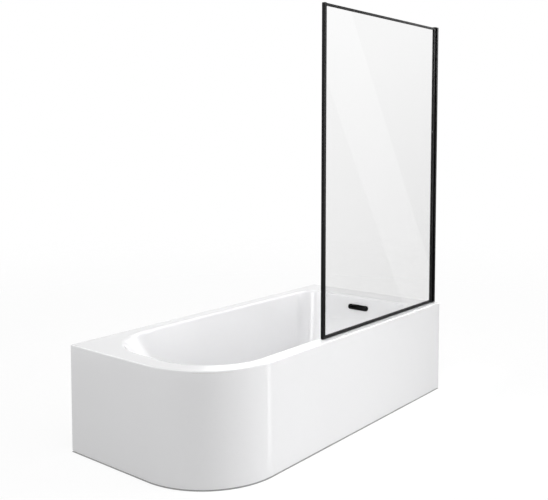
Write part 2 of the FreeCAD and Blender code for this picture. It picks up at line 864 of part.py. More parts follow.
def overflow_pipe():
    """A rigid pipe down beside the end wall and round to the waste."""
    body = new_body("pipe")
    cosine = 1 / slope_length
    sine = end_slope / slope_length
    top_drop = D.overflow_body_height / 2 + D.pipe_nut_length
    top = (overflow_x + body_middle * cosine - top_drop * sine,
           overflow_z - body_middle * sine - top_drop * cosine)
    start = (waste_x + D.inlet_reach, inlet_z)
    rise = top[1] - start[1]
    corner_x = top[0] - rise * end_slope
    turn = math.pi / 2 - math.atan(end_slope.number)
    setback = D.pipe_bend.number * math.tan(turn / 2)
    vector = FreeCAD.Vector
    corner = vector(corner_x.number, inlet_z.number, 0)
    upward = vector(sine.number, cosine.number, 0)
    bend_start = corner - vector(setback, 0, 0)
    bend_end = corner + upward * setback
    centre = bend_start + vector(0, D.pipe_bend.number, 0)

    spine = drawing(body, "XZ_Plane", "pipe_spine")
    level = spine.addGeometry(Part.LineSegment(vector(start[0].number, start[1].number, 0), bend_start), False)
    arc, ends = arc_between(spine, bend_start, bend_end, centre, True)
    riser = spine.addGeometry(Part.LineSegment(bend_end, vector(top[0].number, top[1].number, 0)), False)
    spine.addConstraint(Sketcher.Constraint("Tangent", level, 2, arc, ends[0]))
    spine.addConstraint(Sketcher.Constraint("Tangent", arc, ends[1], riser, 1))
    spine.addConstraint(Sketcher.Constraint("Horizontal", level))
    hold(spine, "X", level, 1, start[0])
    hold(spine, "Y", level, 1, start[1])
    hold(spine, "X", riser, 2, top[0])
    hold(spine, "Y", riser, 2, top[1])
    dimension(spine, "Radius", (arc,), D.pipe_bend)

    section = drawing(body, "YZ_Plane", "pipe_section", start[0])
    circle(section, 0, inlet_z, D.pipe_radius)
    circle(section, 0, inlet_z, D.pipe_radius - D.pipe_wall)
    sweep = feature(body, "AdditivePipe", "pipe_sweep", section)
    sweep.Spine = (spine, [])
    return node(body, "overflow_pipe")


# Waste, trap and outlet under the basin

waste_seat = floor_top - D.waste_recess
waste_rim = waste_seat + D.waste_flange_thickness
tube_end = waste_seat - D.waste_tube_length
guide_top = tube_end + D.guide_length


def waste_flange():
    """The outlet in the floor: a flanged tube with a spoked guide for the plug's stem."""
    body = turned("waste_outlet", [
        (D.waste_bore_radius, tube_end), (D.waste_tube_radius, tube_end), (D.waste_tube_radius, waste_seat),
        (D.waste_flange_radius, waste_seat), (D.waste_flange_radius, waste_rim),
        (D.waste_bore_radius, waste_rim),
    ])
    spoke = drawing(body, "XY_Plane", "waste_spoke", tube_end)
    half = D.spoke_thickness / 2
    overlap = (D.waste_tube_radius - D.waste_bore_radius) / 2
    outline(spoke, rectangle((-D.waste_bore_radius - overlap, D.waste_bore_radius + overlap), (-half, half)))
    pad(body, spoke, D.guide_length)
    cross = drawing(body, "XY_Plane", "waste_cross", tube_end)
    outline(cross, rectangle((-half, half), (-D.waste_bore_radius - overlap, D.waste_bore_radius + overlap)))
    pad(body, cross, D.guide_length)
    hub = drawing(body, "XY_Plane", "waste_hub", tube_end)
    circle(hub, 0, 0, D.guide_radius)
    pad(body, hub, D.guide_length)
    bore = drawing(body, "XY_Plane", "waste_hub_bore", guide_top)
    circle(bore, 0, 0, D.stem_radius + D.running_gap)
    pocket(body, bore, D.guide_length + D.overrun)
    return node(place(body, waste_x, 0, 0), "waste_flange")


def waste_gasket():
    body = turned("waste_ring", ring_section(D.waste_hole_radius + D.waste_gasket_width, D.waste_hole_radius,
                                             body_top, floor_under))
    return node(place(body, waste_x, 0, 0), "waste_gasket")


def waste_body():
    """The cup below the floor, with a side inlet for the overflow and a neck into the trap."""
    wall = D.waste_body_wall
    flange_radius = D.waste_hole_radius + D.waste_gasket_width
    inside = D.waste_body_radius - wall
    body = turned("waste_cup", [
        (D.neck_radius - D.neck_wall, body_end - D.neck_length), (D.neck_radius, body_end - D.neck_length),
        (D.neck_radius, body_end), (D.waste_body_radius, body_end),
        (D.waste_body_radius, body_top - D.waste_body_flange),
        (flange_radius, body_top - D.waste_body_flange), (flange_radius, body_top), (inside, body_top),
        (inside, body_end + wall), (D.neck_radius - D.neck_wall, body_end + wall),
    ])
    inlet = drawing(body, "YZ_Plane", "waste_inlet", inside)
    circle(inlet, 0, inlet_z, D.pipe_radius + D.inlet_wall)
    socket_end = D.inlet_reach + D.pipe_nut_length
    pad(body, inlet, socket_end - inside)
    socket = drawing(body, "YZ_Plane", "waste_inlet_socket", D.inlet_reach)
    circle(socket, 0, inlet_z, D.pipe_radius + D.socket_gap)
    pocket(body, socket, D.pipe_nut_length + D.overrun, back=True)
    bore = drawing(body, "YZ_Plane", "waste_inlet_bore", D.inlet_reach + D.overrun)
    circle(bore, 0, inlet_z, D.pipe_radius - D.pipe_wall)
    pocket(body, bore, D.inlet_reach + D.overrun - D.waste_tube_radius)
    return node(place(body, waste_x, 0, 0), "waste_body")


def overflow_nut():
    """The compression nut on the overflow pipe, against the waste's inlet."""
    start = waste_x + D.inlet_reach + D.pipe_nut_length
    nut = tube("pipe_nut", "X", (start, 0, inlet_z), D.pipe_nut_radius, D.pipe_radius + D.socket_gap,
               D.pipe_nut_length)
    return node(nut, "overflow_nut")


def trap_nut():
    nut = tube("trap_ring", "Z", (waste_x, 0, trap_top), D.trap_nut_radius, D.neck_radius + D.socket_gap,
               D.trap_nut_height)
    return node(nut, "trap_nut")


def trap_body():
    """A low bottle trap: a cup round the neck, and a socket towards the back wall."""
    wall = D.trap_wall
    low = D.trap_floor_gap
    body = turned("trap_cup", [
        (0, low), (D.trap_radius, low), (D.trap_radius, trap_top),
        (D.neck_radius + D.socket_gap, trap_top), (D.neck_radius + D.socket_gap, trap_top - wall),
        (D.trap_radius - wall, trap_top - wall), (D.trap_radius - wall, low + wall), (0, low + wall),
    ])
    socket = drawing(body, "XZ_Plane", "trap_socket", -D.outlet_entry)
    circle(socket, 0, outlet_z, D.outlet_radius + D.outlet_socket_wall)
    pad(body, socket, D.outlet_socket_end - D.outlet_entry, back=True)
    mouth = drawing(body, "XZ_Plane", "trap_mouth", -(D.trap_radius + D.trap_wall))
    circle(mouth, 0, outlet_z, D.outlet_radius + D.socket_gap)
    pocket(body, mouth, D.outlet_socket_end)
    bore = drawing(body, "XZ_Plane", "trap_bore", -D.outlet_entry + D.trap_wall)
    circle(bore, 0, outlet_z, D.outlet_radius - D.outlet_wall)
    pocket(body, bore, D.outlet_socket_end)
    return node(place(body, waste_x, 0, 0), "trap_body")


def outlet():
    """The pipe to the drain in the wall behind, marked for its depth in the socket, and its nut."""
    nut = tube("outlet_ring", "Y", (waste_x, D.outlet_socket_end, outlet_z), D.outlet_nut_radius,
               D.outlet_radius + D.socket_gap, D.outlet_nut_length)
    node(nut, "outlet_nut")
    start = D.trap_radius + D.trap_wall
    mark_end = D.outlet_length - D.outlet_edge - D.outlet_spigot
    mark_start = mark_end - D.outlet_mark_width
    mark_radius = D.outlet_radius - D.outlet_mark_depth
    bore = D.outlet_radius - D.outlet_wall
    pipe = turned("outlet_tube", [
        (bore, 0), (D.outlet_radius, 0), (D.outlet_radius, mark_start), (mark_radius, mark_start),
        (mark_radius, mark_end), (D.outlet_radius, mark_end),
        (D.outlet_radius, D.outlet_length, D.outlet_edge), (bore, D.outlet_length),
    ])
    pipe.Placement = FreeCAD.Placement(FreeCAD.Vector(), TURNS["Y"])
    node(place(pipe, waste_x, start, outlet_z), "outlet_pipe")


def plug():
    """The press-in plug: a rounded cap on a stem, with a flat seal below the cap."""
    seal_low = waste_rim + D.plug_seat_gap
    cap_low = seal_low + D.plug_seal_height
    cap = turned("plug_top", [
        (0, cap_low), (D.plug_radius, cap_low), (D.plug_radius, cap_low + D.plug_height, D.plug_edge),
        (0, cap_low + D.plug_height),
    ])
    node(place(cap, waste_x, 0, 0), "plug_cap")
    ring = turned("plug_ring", ring_section(D.plug_seal_radius, D.plug_seal_radius - D.plug_seal_width,
                                            seal_low, cap_low))
    node(place(ring, waste_x, 0, 0), "plug_seal")
    stem = rod("stem", "Z", (waste_x, 0, cap_low - D.stem_length), D.stem_radius, D.stem_length)
    node(stem, "plug_stem")


# Screen: the pieces fixed to the wall

screen_y = -half_width + D.screen_setback
screen_top = D.bath_height + D.screen_height
profile_x = half_length - D.profile_depth
post_x = profile_x - D.post_projection
pivot_x = post_x - D.pivot_offset
profile_z = (D.bath_height + D.pivot_block_height, screen_top - D.pivot_block_height)
profile_middle = (profile_z[0] + profile_z[1]) / 2
half_breadth = D.profile_breadth / 2
HOLE_ROWS = [s * sign / 2 for s in (D.outer_hole_spacing, D.inner_hole_spacing) for sign in (-1, 1)]


def bore_row(body, name, level, radius, depth):
    """Holes along the profile, for the wall screws."""
    holes = drawing(body, "YZ_Plane", name, level)
    for offset in HOLE_ROWS:
        circle(holes, screen_y, profile_middle + offset, radius)
    return pocket(body, holes, depth)


def wall_profile():
    wall = D.profile_wall
    web = half_length - D.profile_web
    body = extrusion("profile", "XY_Plane", profile_z[0], profile_z[1] - profile_z[0], [
        (profile_x, screen_y - half_breadth), (half_length, screen_y - half_breadth),
        (half_length, screen_y + half_breadth), (profile_x, screen_y + half_breadth),
        (profile_x, screen_y + half_breadth - wall), (web, screen_y + half_breadth - wall),
        (web, screen_y - half_breadth + wall), (profile_x, screen_y - half_breadth + wall),
    ])
    bore_row(body, "wall_holes", half_length + D.overrun, D.wall_hole_radius, D.profile_web + D.overrun * 2)
    return node(body, "wall_profile")


def pivot_post():
    """The box section that slides into the wall profile and carries the pivots."""
    half = half_breadth - D.profile_wall - D.post_gap
    x = (post_x, half_length - D.profile_web - D.post_web_gap)
    body = new_body("post")
    section = drawing(body, "XY_Plane", "post_section", profile_z[0])
    outline(section, rectangle(x, (screen_y - half, screen_y + half)))
    inner = half - D.post_wall
    outline(section, rectangle((x[0] + D.post_wall, x[1] - D.post_wall), (screen_y - inner, screen_y + inner)))
    pad(body, section, profile_z[1] - profile_z[0])
    bore_row(body, "access_holes", half_length, D.access_hole_radius, D.profile_depth + D.post_projection)
    return node(body, "pivot_post")


def clamp_screws():
    """Screws through the profile's inner leg that hold the post where it was set."""
    screws = []
    x = profile_x + D.profile_depth / 2
    outside = screen_y + half_breadth
    grip = D.profile_wall + D.post_gap + D.post_wall
    for name, offset in (("low", -D.clamp_screw_pitch), ("middle", as_size(0)), ("high", D.clamp_screw_pitch)):
        z = profile_middle + offset
        shank = rod(f"clamp_{name}_shank", "Y", (x, outside - grip, z), D.screw_radius, grip)
        head = rod(f"clamp_{name}_head", "Y", (x, outside, z), D.screw_head_radius, D.screw_head_height)
        screws.append(fuse(f"clamp_{name}", [shank, head]))
    return node(group("clamps", screws), "post_screws")


def pivots():
    """End blocks that close the wall profile and carry a pin each, with flanged bushes round the pins."""
    places = {
        "bottom": (D.bath_height, D.bath_height, leaf_z[0], leaf_z[0] - D.bush_flange_height),
        "top": (profile_z[1], screen_top - D.pin_reach, leaf_z[1] - D.bush_length, leaf_z[1]),
    }
    for name, (block_low, pin_low, bush_low, flange_low) in places.items():
        body = new_body(f"{name}_block")
        plan = drawing(body, "XY_Plane", f"{name}_block_plan", block_low)
        left = pivot_x - half_breadth
        outline(plan, [
            (left, screen_y - half_breadth, D.pivot_block_corner), (half_length, screen_y - half_breadth),
            (half_length, screen_y + half_breadth), (left, screen_y + half_breadth, D.pivot_block_corner),
        ])
        circle(plan, pivot_x, screen_y, D.pin_radius)
        pad(body, plan, D.pivot_block_height)
        node(body, f"{name}_pivot_block")
        pin = rod(f"{name}_pin", "Z", (pivot_x, screen_y, pin_low), D.pin_radius, D.pin_reach)
        node(pin, f"{name}_pivot_pin")
        bore = D.pin_radius + D.running_gap
        sleeve = tube(f"{name}_sleeve", "Z", (pivot_x, screen_y, bush_low), D.bush_radius, bore, D.bush_length)
        collar = tube(f"{name}_collar", "Z", (pivot_x, screen_y, flange_low), D.bush_flange_radius, bore,
                      D.bush_flange_height)
        node(fuse(f"{name}_bush", [sleeve, collar]), f"{name}_pivot_bush")


# Screen: the leaf that swings

leaf_z = (profile_z[0] + D.leaf_gap, profile_z[1] - D.leaf_gap)
leaf_x = (half_length - D.screen_width, pivot_x - D.hinge_stile_reach)
half_depth = D.frame_depth / 2
half_groove = D.groove_width / 2
rail_x = (leaf_x[0] + D.free_stile_width, leaf_x[1])
glass_x = (rail_x[0] - D.glass_entry, rail_x[1] + D.glass_entry)
glass_z = (leaf_z[0] + D.rail_height - D.glass_entry, leaf_z[1] - D.rail_height + D.glass_entry)


def hinge_stile():
    """The upright at the pivots: grooved for the glass, rounded at the back, bored for the bushes."""
    right = pivot_x + half_depth
    groove_end = leaf_x[1] + D.groove_depth
    body = new_body("hinge_upright")
    section = drawing(body, "XY_Plane", "hinge_section", leaf_z[0])
    outline(section, [
        (leaf_x[1], screen_y - half_depth), (right, screen_y - half_depth, D.hinge_stile_corner),
        (right, screen_y + half_depth, D.hinge_stile_corner), (leaf_x[1], screen_y + half_depth),
        (leaf_x[1], screen_y + half_groove), (groove_end, screen_y + half_groove),
        (groove_end, screen_y - half_groove), (leaf_x[1], screen_y - half_groove),
    ])
    circle(section, pivot_x, screen_y, D.bush_radius)
    pad(body, section, leaf_z[1] - leaf_z[0])
    return node(body, "hinge_stile")


def free_stile():
    """The upright at the open edge: a hollow section, grooved for the glass."""
    wall = D.free_stile_wall
    groove_end = rail_x[0] - D.groove_depth
    body = new_body("free_upright")
    section = drawing(body, "XY_Plane", "free_section", leaf_z[0])
    outline(section, [
        (leaf_x[0], screen_y - half_depth, D.free_stile_corner), (rail_x[0], screen_y - half_depth),
        (rail_x[0], screen_y - half_groove), (groove_end, screen_y - half_groove),
        (groove_end, screen_y + half_groove), (rail_x[0], screen_y + half_groove),
        (rail_x[0], screen_y + half_depth), (leaf_x[0], screen_y + half_depth, D.free_stile_corner),
    ])
    outline(section, rectangle((leaf_x[0] + wall, groove_end - wall),
                               (screen_y - half_depth + wall, screen_y + half_depth - wall)))
    pad(body, section, leaf_z[1] - leaf_z[0])
    cap = block("cap", (leaf_x[0] + D.free_stile_corner, rail_x[0]),
                (screen_y - half_depth, screen_y + half_depth), (leaf_z[1], leaf_z[1] + D.cap_height))
    node(cap, "stile_cap")
    return node(body, "free_stile")


def rail(name, outer, inner):
    """A level frame bar, grooved on the side of the glass."""
    towards_glass = 1 if inner.number > outer.number else -1
    groove_end = inner - D.groove_depth * towards_glass
    corners = [
        (screen_y - half_depth, outer), (screen_y + half_depth, outer), (screen_y + half_depth, inner),
        (screen_y + half_groove, inner), (screen_y + half_groove, groove_end),
        (screen_y - half_groove, groove_end), (screen_y - half_groove, inner), (screen_y - half_depth, inner),
    ]
    body = extrusion(f"{name}_bar", "YZ_Plane", rail_x[0], rail_x[1] - rail_x[0], corners)
    return node(body, f"{name}_rail")


def glazing():
    """The pane, and the rubber gasket that fills the frame's grooves round its edges."""
    half = D.glass_thickness / 2
    pane_y = (screen_y - half, screen_y + half)
    node(block("pane", glass_x, pane_y, glass_z), "glass_panel")
    spare = D.groove_depth - D.glass_entry
    lip = D.glass_entry + D.gasket_lip
    strip = block("gasket_strip", (glass_x[0] - spare, glass_x[1] + spare),
                  (screen_y - half_groove, screen_y + half_groove), (glass_z[0] - spare, glass_z[1] + spare))
    window = block("gasket_window", (glass_x[0] + lip, glass_x[1] - lip),
                   (screen_y - half_depth, screen_y + half_depth), (glass_z[0] + lip, glass_z[1] - lip))
    pane = block("gasket_pane", glass_x, pane_y, glass_z)
    node(cut("gasket", strip, [window, pane]), "glazing_gasket")


def bottom_seal():
    """A two-finned strip under the leaf, just clear of the rim."""
    half = D.seal_width / 2
    low = D.bath_height + D.seal_clearance
    top = leaf_z[0]
    body = extrusion("seal", "YZ_Plane", leaf_x[0], leaf_x[1] - leaf_x[0], [
        (screen_y - half, low), (screen_y - half + D.seal_fin, low),
        (screen_y - half + D.seal_fin, top - D.seal_web), (screen_y + half - D.seal_fin, top - D.seal_web),
        (screen_y + half - D.seal_fin, low), (screen_y + half, low),
        (screen_y + half, top), (screen_y - half, top),
    ])
    return node(body, "bottom_seal")


bath_shell()
apron_panel()
base_board()
rim_timber()
for leg, leg_x in LEGS.items():
    leg_channel(leg, leg_x)
    apron_stay(leg, leg_x)
    for side, side_y in SIDES.items():
        foot(leg, side, leg_x, side_y)
channel_screws()
foot_nuts()
overflow_cover()
overflow_gasket()
overflow_body()
overflow_pipe()
overflow_nut()
waste_flange()
waste_gasket()
waste_body()
trap_nut()
trap_body()
outlet()
plug()
wall_profile()
pivot_post()
clamp_screws()
pivots()
hinge_stile()
free_stile()
rail("top", leaf_z[1], leaf_z[1] - D.rail_height)
rail("bottom", leaf_z[0], leaf_z[0] + D.rail_height)
glazing()
bottom_seal()
doc.recompute()

failed = [obj.Name for obj in doc.Objects if {"Invalid", "Error"} & set(obj.State)]
failed += [obj.Label for obj in NODES if obj.Shape.isNull() or not obj.Shape.isValid()]
if failed:
    raise RuntimeError("these objects failed: " + ", ".join(failed))
os.makedirs("parts", exist_ok=True)
for obj in NODES:
    obj.Shape.exportStep(f"parts/{obj.Label}.step")
    solids = obj.Shape.Solids
    print(f"{obj.Label}: {len(solids)} solids, {obj.Shape.Volume / 1000:.1f} cm3")
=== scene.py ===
import json
import math

import bmesh
import bpy
from mathutils import Euler, Matrix, Vector


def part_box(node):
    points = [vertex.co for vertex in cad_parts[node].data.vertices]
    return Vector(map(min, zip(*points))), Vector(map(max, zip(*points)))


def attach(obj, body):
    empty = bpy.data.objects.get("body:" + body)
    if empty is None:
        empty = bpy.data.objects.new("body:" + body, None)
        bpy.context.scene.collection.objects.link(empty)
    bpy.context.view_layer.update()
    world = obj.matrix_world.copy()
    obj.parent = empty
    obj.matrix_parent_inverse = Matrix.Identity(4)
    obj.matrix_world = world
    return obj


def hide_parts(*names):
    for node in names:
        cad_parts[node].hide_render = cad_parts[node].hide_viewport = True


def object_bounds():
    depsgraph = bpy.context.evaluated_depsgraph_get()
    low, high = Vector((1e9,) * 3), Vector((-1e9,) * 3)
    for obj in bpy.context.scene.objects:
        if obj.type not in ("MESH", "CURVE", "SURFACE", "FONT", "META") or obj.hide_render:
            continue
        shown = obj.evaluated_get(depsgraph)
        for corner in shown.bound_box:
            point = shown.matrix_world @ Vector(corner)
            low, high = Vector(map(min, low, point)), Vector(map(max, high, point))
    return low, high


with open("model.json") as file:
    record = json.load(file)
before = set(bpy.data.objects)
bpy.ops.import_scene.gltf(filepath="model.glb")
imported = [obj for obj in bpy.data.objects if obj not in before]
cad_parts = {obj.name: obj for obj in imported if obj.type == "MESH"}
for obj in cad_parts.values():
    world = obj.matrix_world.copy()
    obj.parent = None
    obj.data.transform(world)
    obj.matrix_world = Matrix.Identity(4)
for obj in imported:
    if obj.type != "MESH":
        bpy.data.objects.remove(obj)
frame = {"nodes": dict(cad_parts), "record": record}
cad_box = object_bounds()
nodes = frame["nodes"]

# Shower bath in the photograph's view: a white acrylic corner bath with a curved apron, a black framed
# glass screen on its rim, and the timber, legs and pipes below it.
# Lengths are in metres; those of the finishes are given in millimetres.

MM = 0.001
TURN = math.tau


def linear(hex_colour):
    """An sRGB hex colour as linear red, green, blue and alpha."""
    channels = [int(hex_colour[i:i + 2], 16) / 255 for i in (1, 3, 5)]
    return (*[c / 12.92 if c <= 0.04045 else ((c + 0.055) / 1.055) ** 2.4 for c in channels], 1.0)


def per(size_mm):
    """The texture scale that gives features of a real size."""
    return 1 / (size_mm * MM)


def add(tree, kind, settings=None, inputs=None, tones=None):
    """A shader node with its settings; each input is a value or the socket that feeds it. Tones are the
    colours that a ramp runs through."""
    node = tree.nodes.new(f"ShaderNode{kind}")
    for name, value in (settings or {}).items():
        setattr(node, name, value)
    for name, value in (inputs or {}).items():
        socket = node.inputs[name]
        if isinstance(value, bpy.types.NodeSocket):
            tree.links.new(value, socket)
        else:
            socket.default_value = value
    if tones:
        elements = node.color_ramp.elements
        for position in range(1, len(tones) - 1):
            elements.new(position / (len(tones) - 1))
        for element, tone in zip(elements, tones):
            element.color = linear(tone)
    return node


def start_material(name):
    """An empty material; returns it, its tree and the object coordinates."""
    material = bpy.data.materials.new(name)
    material.use_nodes = True
    tree = material.node_tree
    tree.nodes.clear()
    place = add(tree, "TexCoord").outputs["Object"]
    return material, tree, place


def show(tree, shader):
    """Make a shader the material's surface."""
    add(tree, "OutputMaterial", inputs={"Surface": shader})


# Finishes

# What the finer pattern of a finish adds to its coarser one, how far strands and growth rings are drawn out
# along an axis, and the levels that a grain mostly stays between
STRAND_SHARE = 0.7
CHIP_SHARE = 0.5
FIBRE_SHARE = 0.35
STRAND_RUN = (12, 1, 1)
RING_RUN = (14, 1, 1)
GRAIN_LOW = 0.3
GRAIN_HIGH = 0.7


def acrylic_face(tree, place):
    """The polished face of the sheet."""
    cloud = add(tree, "TexNoise", inputs={"Vector": place, "Scale": per(420), "Detail": 2})
    tint = add(tree, "ValToRGB", inputs={"Fac": cloud.outputs["Fac"]}, tones=("#F6F6F7", "#F9F9FA"))
    haze = add(tree, "TexNoise", inputs={"Vector": place, "Scale": per(70), "Detail": 3})
    gloss = add(tree, "MapRange", inputs={"Value": haze.outputs["Fac"], "To Min": 0.03, "To Max": 0.07})
    wave = add(tree, "TexNoise", inputs={"Vector": place, "Scale": per(90), "Detail": 1})
    bump = add(tree, "Bump", inputs={"Height": wave.outputs["Fac"], "Strength": 0.1, "Distance": 0.4 * MM})
    return add(tree, "BsdfPrincipled", inputs={
        "Base Color": tint.outputs["Color"], "Roughness": gloss.outputs["Result"], "IOR": 1.49,
        "Normal": bump.outputs["Normal"],
    })


def laminate_face(tree, place):
    """The rough back: chopped glass strands, each patch lying its own way, wetted out with resin."""
    patch = add(tree, "TexVoronoi", inputs={"Vector": place, "Scale": per(38)})
    lie = add(tree, "VectorMath", {"operation": "SCALE"}, {0: patch.outputs["Color"], "Scale": TURN})
    turned = add(tree, "VectorRotate", {"rotation_type": "EULER_XYZ"},
                 {"Vector": place, "Rotation": lie.outputs["Vector"]})
    drawn = add(tree, "Mapping", {"vector_type": "TEXTURE"},
                {"Vector": turned.outputs["Vector"], "Scale": STRAND_RUN})
    strand = add(tree, "TexNoise", inputs={"Vector": drawn.outputs["Vector"], "Scale": per(2.6), "Detail": 3})
    resin = add(tree, "TexNoise", inputs={"Vector": place, "Scale": per(120), "Detail": 3})
    depth = add(tree, "Math", {"operation": "MULTIPLY_ADD"},
                {0: strand.outputs["Fac"], 1: STRAND_SHARE, 2: resin.outputs["Fac"]})
    level = add(tree, "MapRange", inputs={"Value": depth.outputs[0], "From Min": 0.55, "From Max": 1.15})
    tint = add(tree, "ValToRGB", inputs={"Fac": level.outputs["Result"]},
               tones=("#A79F84", "#C9C3AC", "#DEDACA"))
    rough = add(tree, "MapRange", inputs={"Value": strand.outputs["Fac"], "To Min": 0.42, "To Max": 0.75})
    bump = add(tree, "Bump", inputs={"Height": depth.outputs[0], "Strength": 0.6, "Distance": 0.8 * MM})
    return add(tree, "BsdfPrincipled", inputs={
        "Base Color": tint.outputs["Color"], "Roughness": rough.outputs["Result"],
        "Normal": bump.outputs["Normal"],
    })


# A length beyond the whole bath, which stands for no limit
NO_LIMIT = 9
# The least share of a level face's normal that looks up or down
LEVEL_FACE = 0.5


def backed_acrylic(name, middle, outward, below, hull):
    """Cast acrylic sheet, formed over a mould and polished: a deep gloss white whose reflections waver a
    little over the length of a hand. Its back is glass fibre in resin. The back is the side that looks away
    from the middle, or towards it, below a level. Beyond the hull only level faces belong to it, so that the
    turned-down rim stays white."""
    material, tree, place = start_material(name)
    face = acrylic_face(tree, place)
    back = laminate_face(tree, place)
    side = add(tree, "NewGeometry")
    reach = add(tree, "VectorMath", {"operation": "SUBTRACT"}, {0: place, 1: middle})
    look = add(tree, "VectorMath", {"operation": "DOT_PRODUCT"},
               {0: reach.outputs["Vector"], 1: side.outputs["Normal"]})
    away = add(tree, "Math", {"operation": "GREATER_THAN" if outward else "LESS_THAN"},
               {0: look.outputs["Value"], 1: 0})
    height = add(tree, "SeparateXYZ", inputs={"Vector": place})
    under = add(tree, "Math", {"operation": "LESS_THAN"}, {0: height.outputs["Z"], 1: below})
    behind = add(tree, "Math", {"operation": "MULTIPLY"}, {0: away.outputs[0], 1: under.outputs[0]})
    offset = add(tree, "VectorMath", {"operation": "ABSOLUTE"}, {0: reach.outputs["Vector"]})
    share = add(tree, "VectorMath", {"operation": "DIVIDE"},
                {0: offset.outputs["Vector"], 1: (*hull, NO_LIMIT)})
    spread = add(tree, "SeparateXYZ", inputs={"Vector": share.outputs["Vector"]})
    outermost = add(tree, "Math", {"operation": "MAXIMUM"}, {0: spread.outputs["X"], 1: spread.outputs["Y"]})
    within = add(tree, "Math", {"operation": "LESS_THAN"}, {0: outermost.outputs[0], 1: 1})
    tilt = add(tree, "SeparateXYZ", inputs={"Vector": side.outputs["Normal"]})
    level = add(tree, "Math", {"operation": "ABSOLUTE"}, {0: tilt.outputs["Z"]})
    flat = add(tree, "Math", {"operation": "GREATER_THAN"}, {0: level.outputs[0], 1: LEVEL_FACE})
    bare = add(tree, "Math", {"operation": "MAXIMUM"}, {0: within.outputs[0], 1: flat.outputs[0]})
    hidden = add(tree, "Math", {"operation": "MULTIPLY"}, {0: behind.outputs[0], 1: bare.outputs[0]})
    blend = add(tree, "MixShader", inputs={
        "Fac": hidden.outputs[0], 1: face.outputs["BSDF"], 2: back.outputs["BSDF"],
    })
    show(tree, blend.outputs["Shader"])
    return material


def grained(name, tones, grain_mm, rough, bump_mm, stretch=(1, 1, 1), detail=4, **shader):
    """A finish whose colour, roughness and relief follow one fine grain, drawn out along an axis by the
    stretch. Further values go to the shader's inputs of those names."""
    material, tree, place = start_material(name)
    drawn = add(tree, "Mapping", {"vector_type": "TEXTURE"}, {"Vector": place, "Scale": stretch})
    grain = add(tree, "TexNoise", inputs={
        "Vector": drawn.outputs["Vector"], "Scale": per(grain_mm), "Detail": detail,
    })
    tint = add(tree, "ValToRGB", inputs={"Fac": grain.outputs["Fac"]}, tones=tones)
    gloss = add(tree, "MapRange", inputs={
        "Value": grain.outputs["Fac"], "From Min": GRAIN_LOW, "From Max": GRAIN_HIGH,
        "To Min": rough[0], "To Max": rough[1],
    })
    bump = add(tree, "Bump", inputs={
        "Height": grain.outputs["Fac"], "Strength": 0.5, "Distance": bump_mm * MM,
    })
    body = add(tree, "BsdfPrincipled", inputs={
        "Base Color": tint.outputs["Color"], "Roughness": gloss.outputs["Result"],
        "Normal": bump.outputs["Normal"], **{key.replace("_", " "): value for key, value in shader.items()},
    })
    show(tree, body.outputs["BSDF"])
    return material


def galvanised_steel():
    """Hot-dip galvanised sheet: pale grey with the zinc's crystals, each of its own grey and dullness."""
    material, tree, place = start_material("galvanised_steel_sheet")
    crystal = add(tree, "TexVoronoi", inputs={"Vector": place, "Scale": per(9), "Randomness": 1})
    shade = add(tree, "SeparateColor", inputs={"Color": crystal.outputs["Color"]})
    tint = add(tree, "ValToRGB", inputs={"Fac": shade.outputs["Red"]},
               tones=("#8F9497", "#A5AAAD", "#B9BEC1"))
    gloss = add(tree, "MapRange", inputs={"Value": shade.outputs["Green"], "To Min": 0.3, "To Max": 0.52})
    bloom = add(tree, "TexNoise", inputs={"Vector": place, "Scale": per(3), "Detail": 3})
    bump = add(tree, "Bump", inputs={"Height": bloom.outputs["Fac"], "Strength": 0.3, "Distance": 0.06 * MM})
    body = add(tree, "BsdfPrincipled", inputs={
        "Base Color": tint.outputs["Color"], "Roughness": gloss.outputs["Result"], "Metallic": 1.0,
        "Normal": bump.outputs["Normal"],
    })
    show(tree, body.outputs["BSDF"])
    return material


def particle_board():
    """Pressed wood chips under a thin skin of fine ones: a speckled tan with darker flecks of bark."""
    material, tree, place = start_material("moisture_resistant_particle_board")
    chip = add(tree, "TexVoronoi", inputs={"Vector": place, "Scale": per(5), "Randomness": 1})
    shade = add(tree, "SeparateColor", inputs={"Color": chip.outputs["Color"]})
    fine = add(tree, "TexNoise", inputs={"Vector": place, "Scale": per(2), "Detail": 4})
    mixed = add(tree, "Math", {"operation": "MULTIPLY_ADD"},
                {0: fine.outputs["Fac"], 1: CHIP_SHARE, 2: shade.outputs["Red"]})
    level = add(tree, "MapRange", inputs={"Value": mixed.outputs[0], "From Min": 0.1, "From Max": 1.3})
    tint = add(tree, "ValToRGB", inputs={"Fac": level.outputs["Result"]},
               tones=("#8A6A43", "#B59362", "#C6A877", "#D6BE93"))
    gloss = add(tree, "MapRange", inputs={"Value": fine.outputs["Fac"], "To Min": 0.62, "To Max": 0.86})
    bump = add(tree, "Bump", inputs={"Height": mixed.outputs[0], "Strength": 0.4, "Distance": 0.25 * MM})
    body = add(tree, "BsdfPrincipled", inputs={
        "Base Color": tint.outputs["Color"], "Roughness": gloss.outputs["Result"],
        "Normal": bump.outputs["Normal"],
    })
    show(tree, body.outputs["BSDF"])
    return material


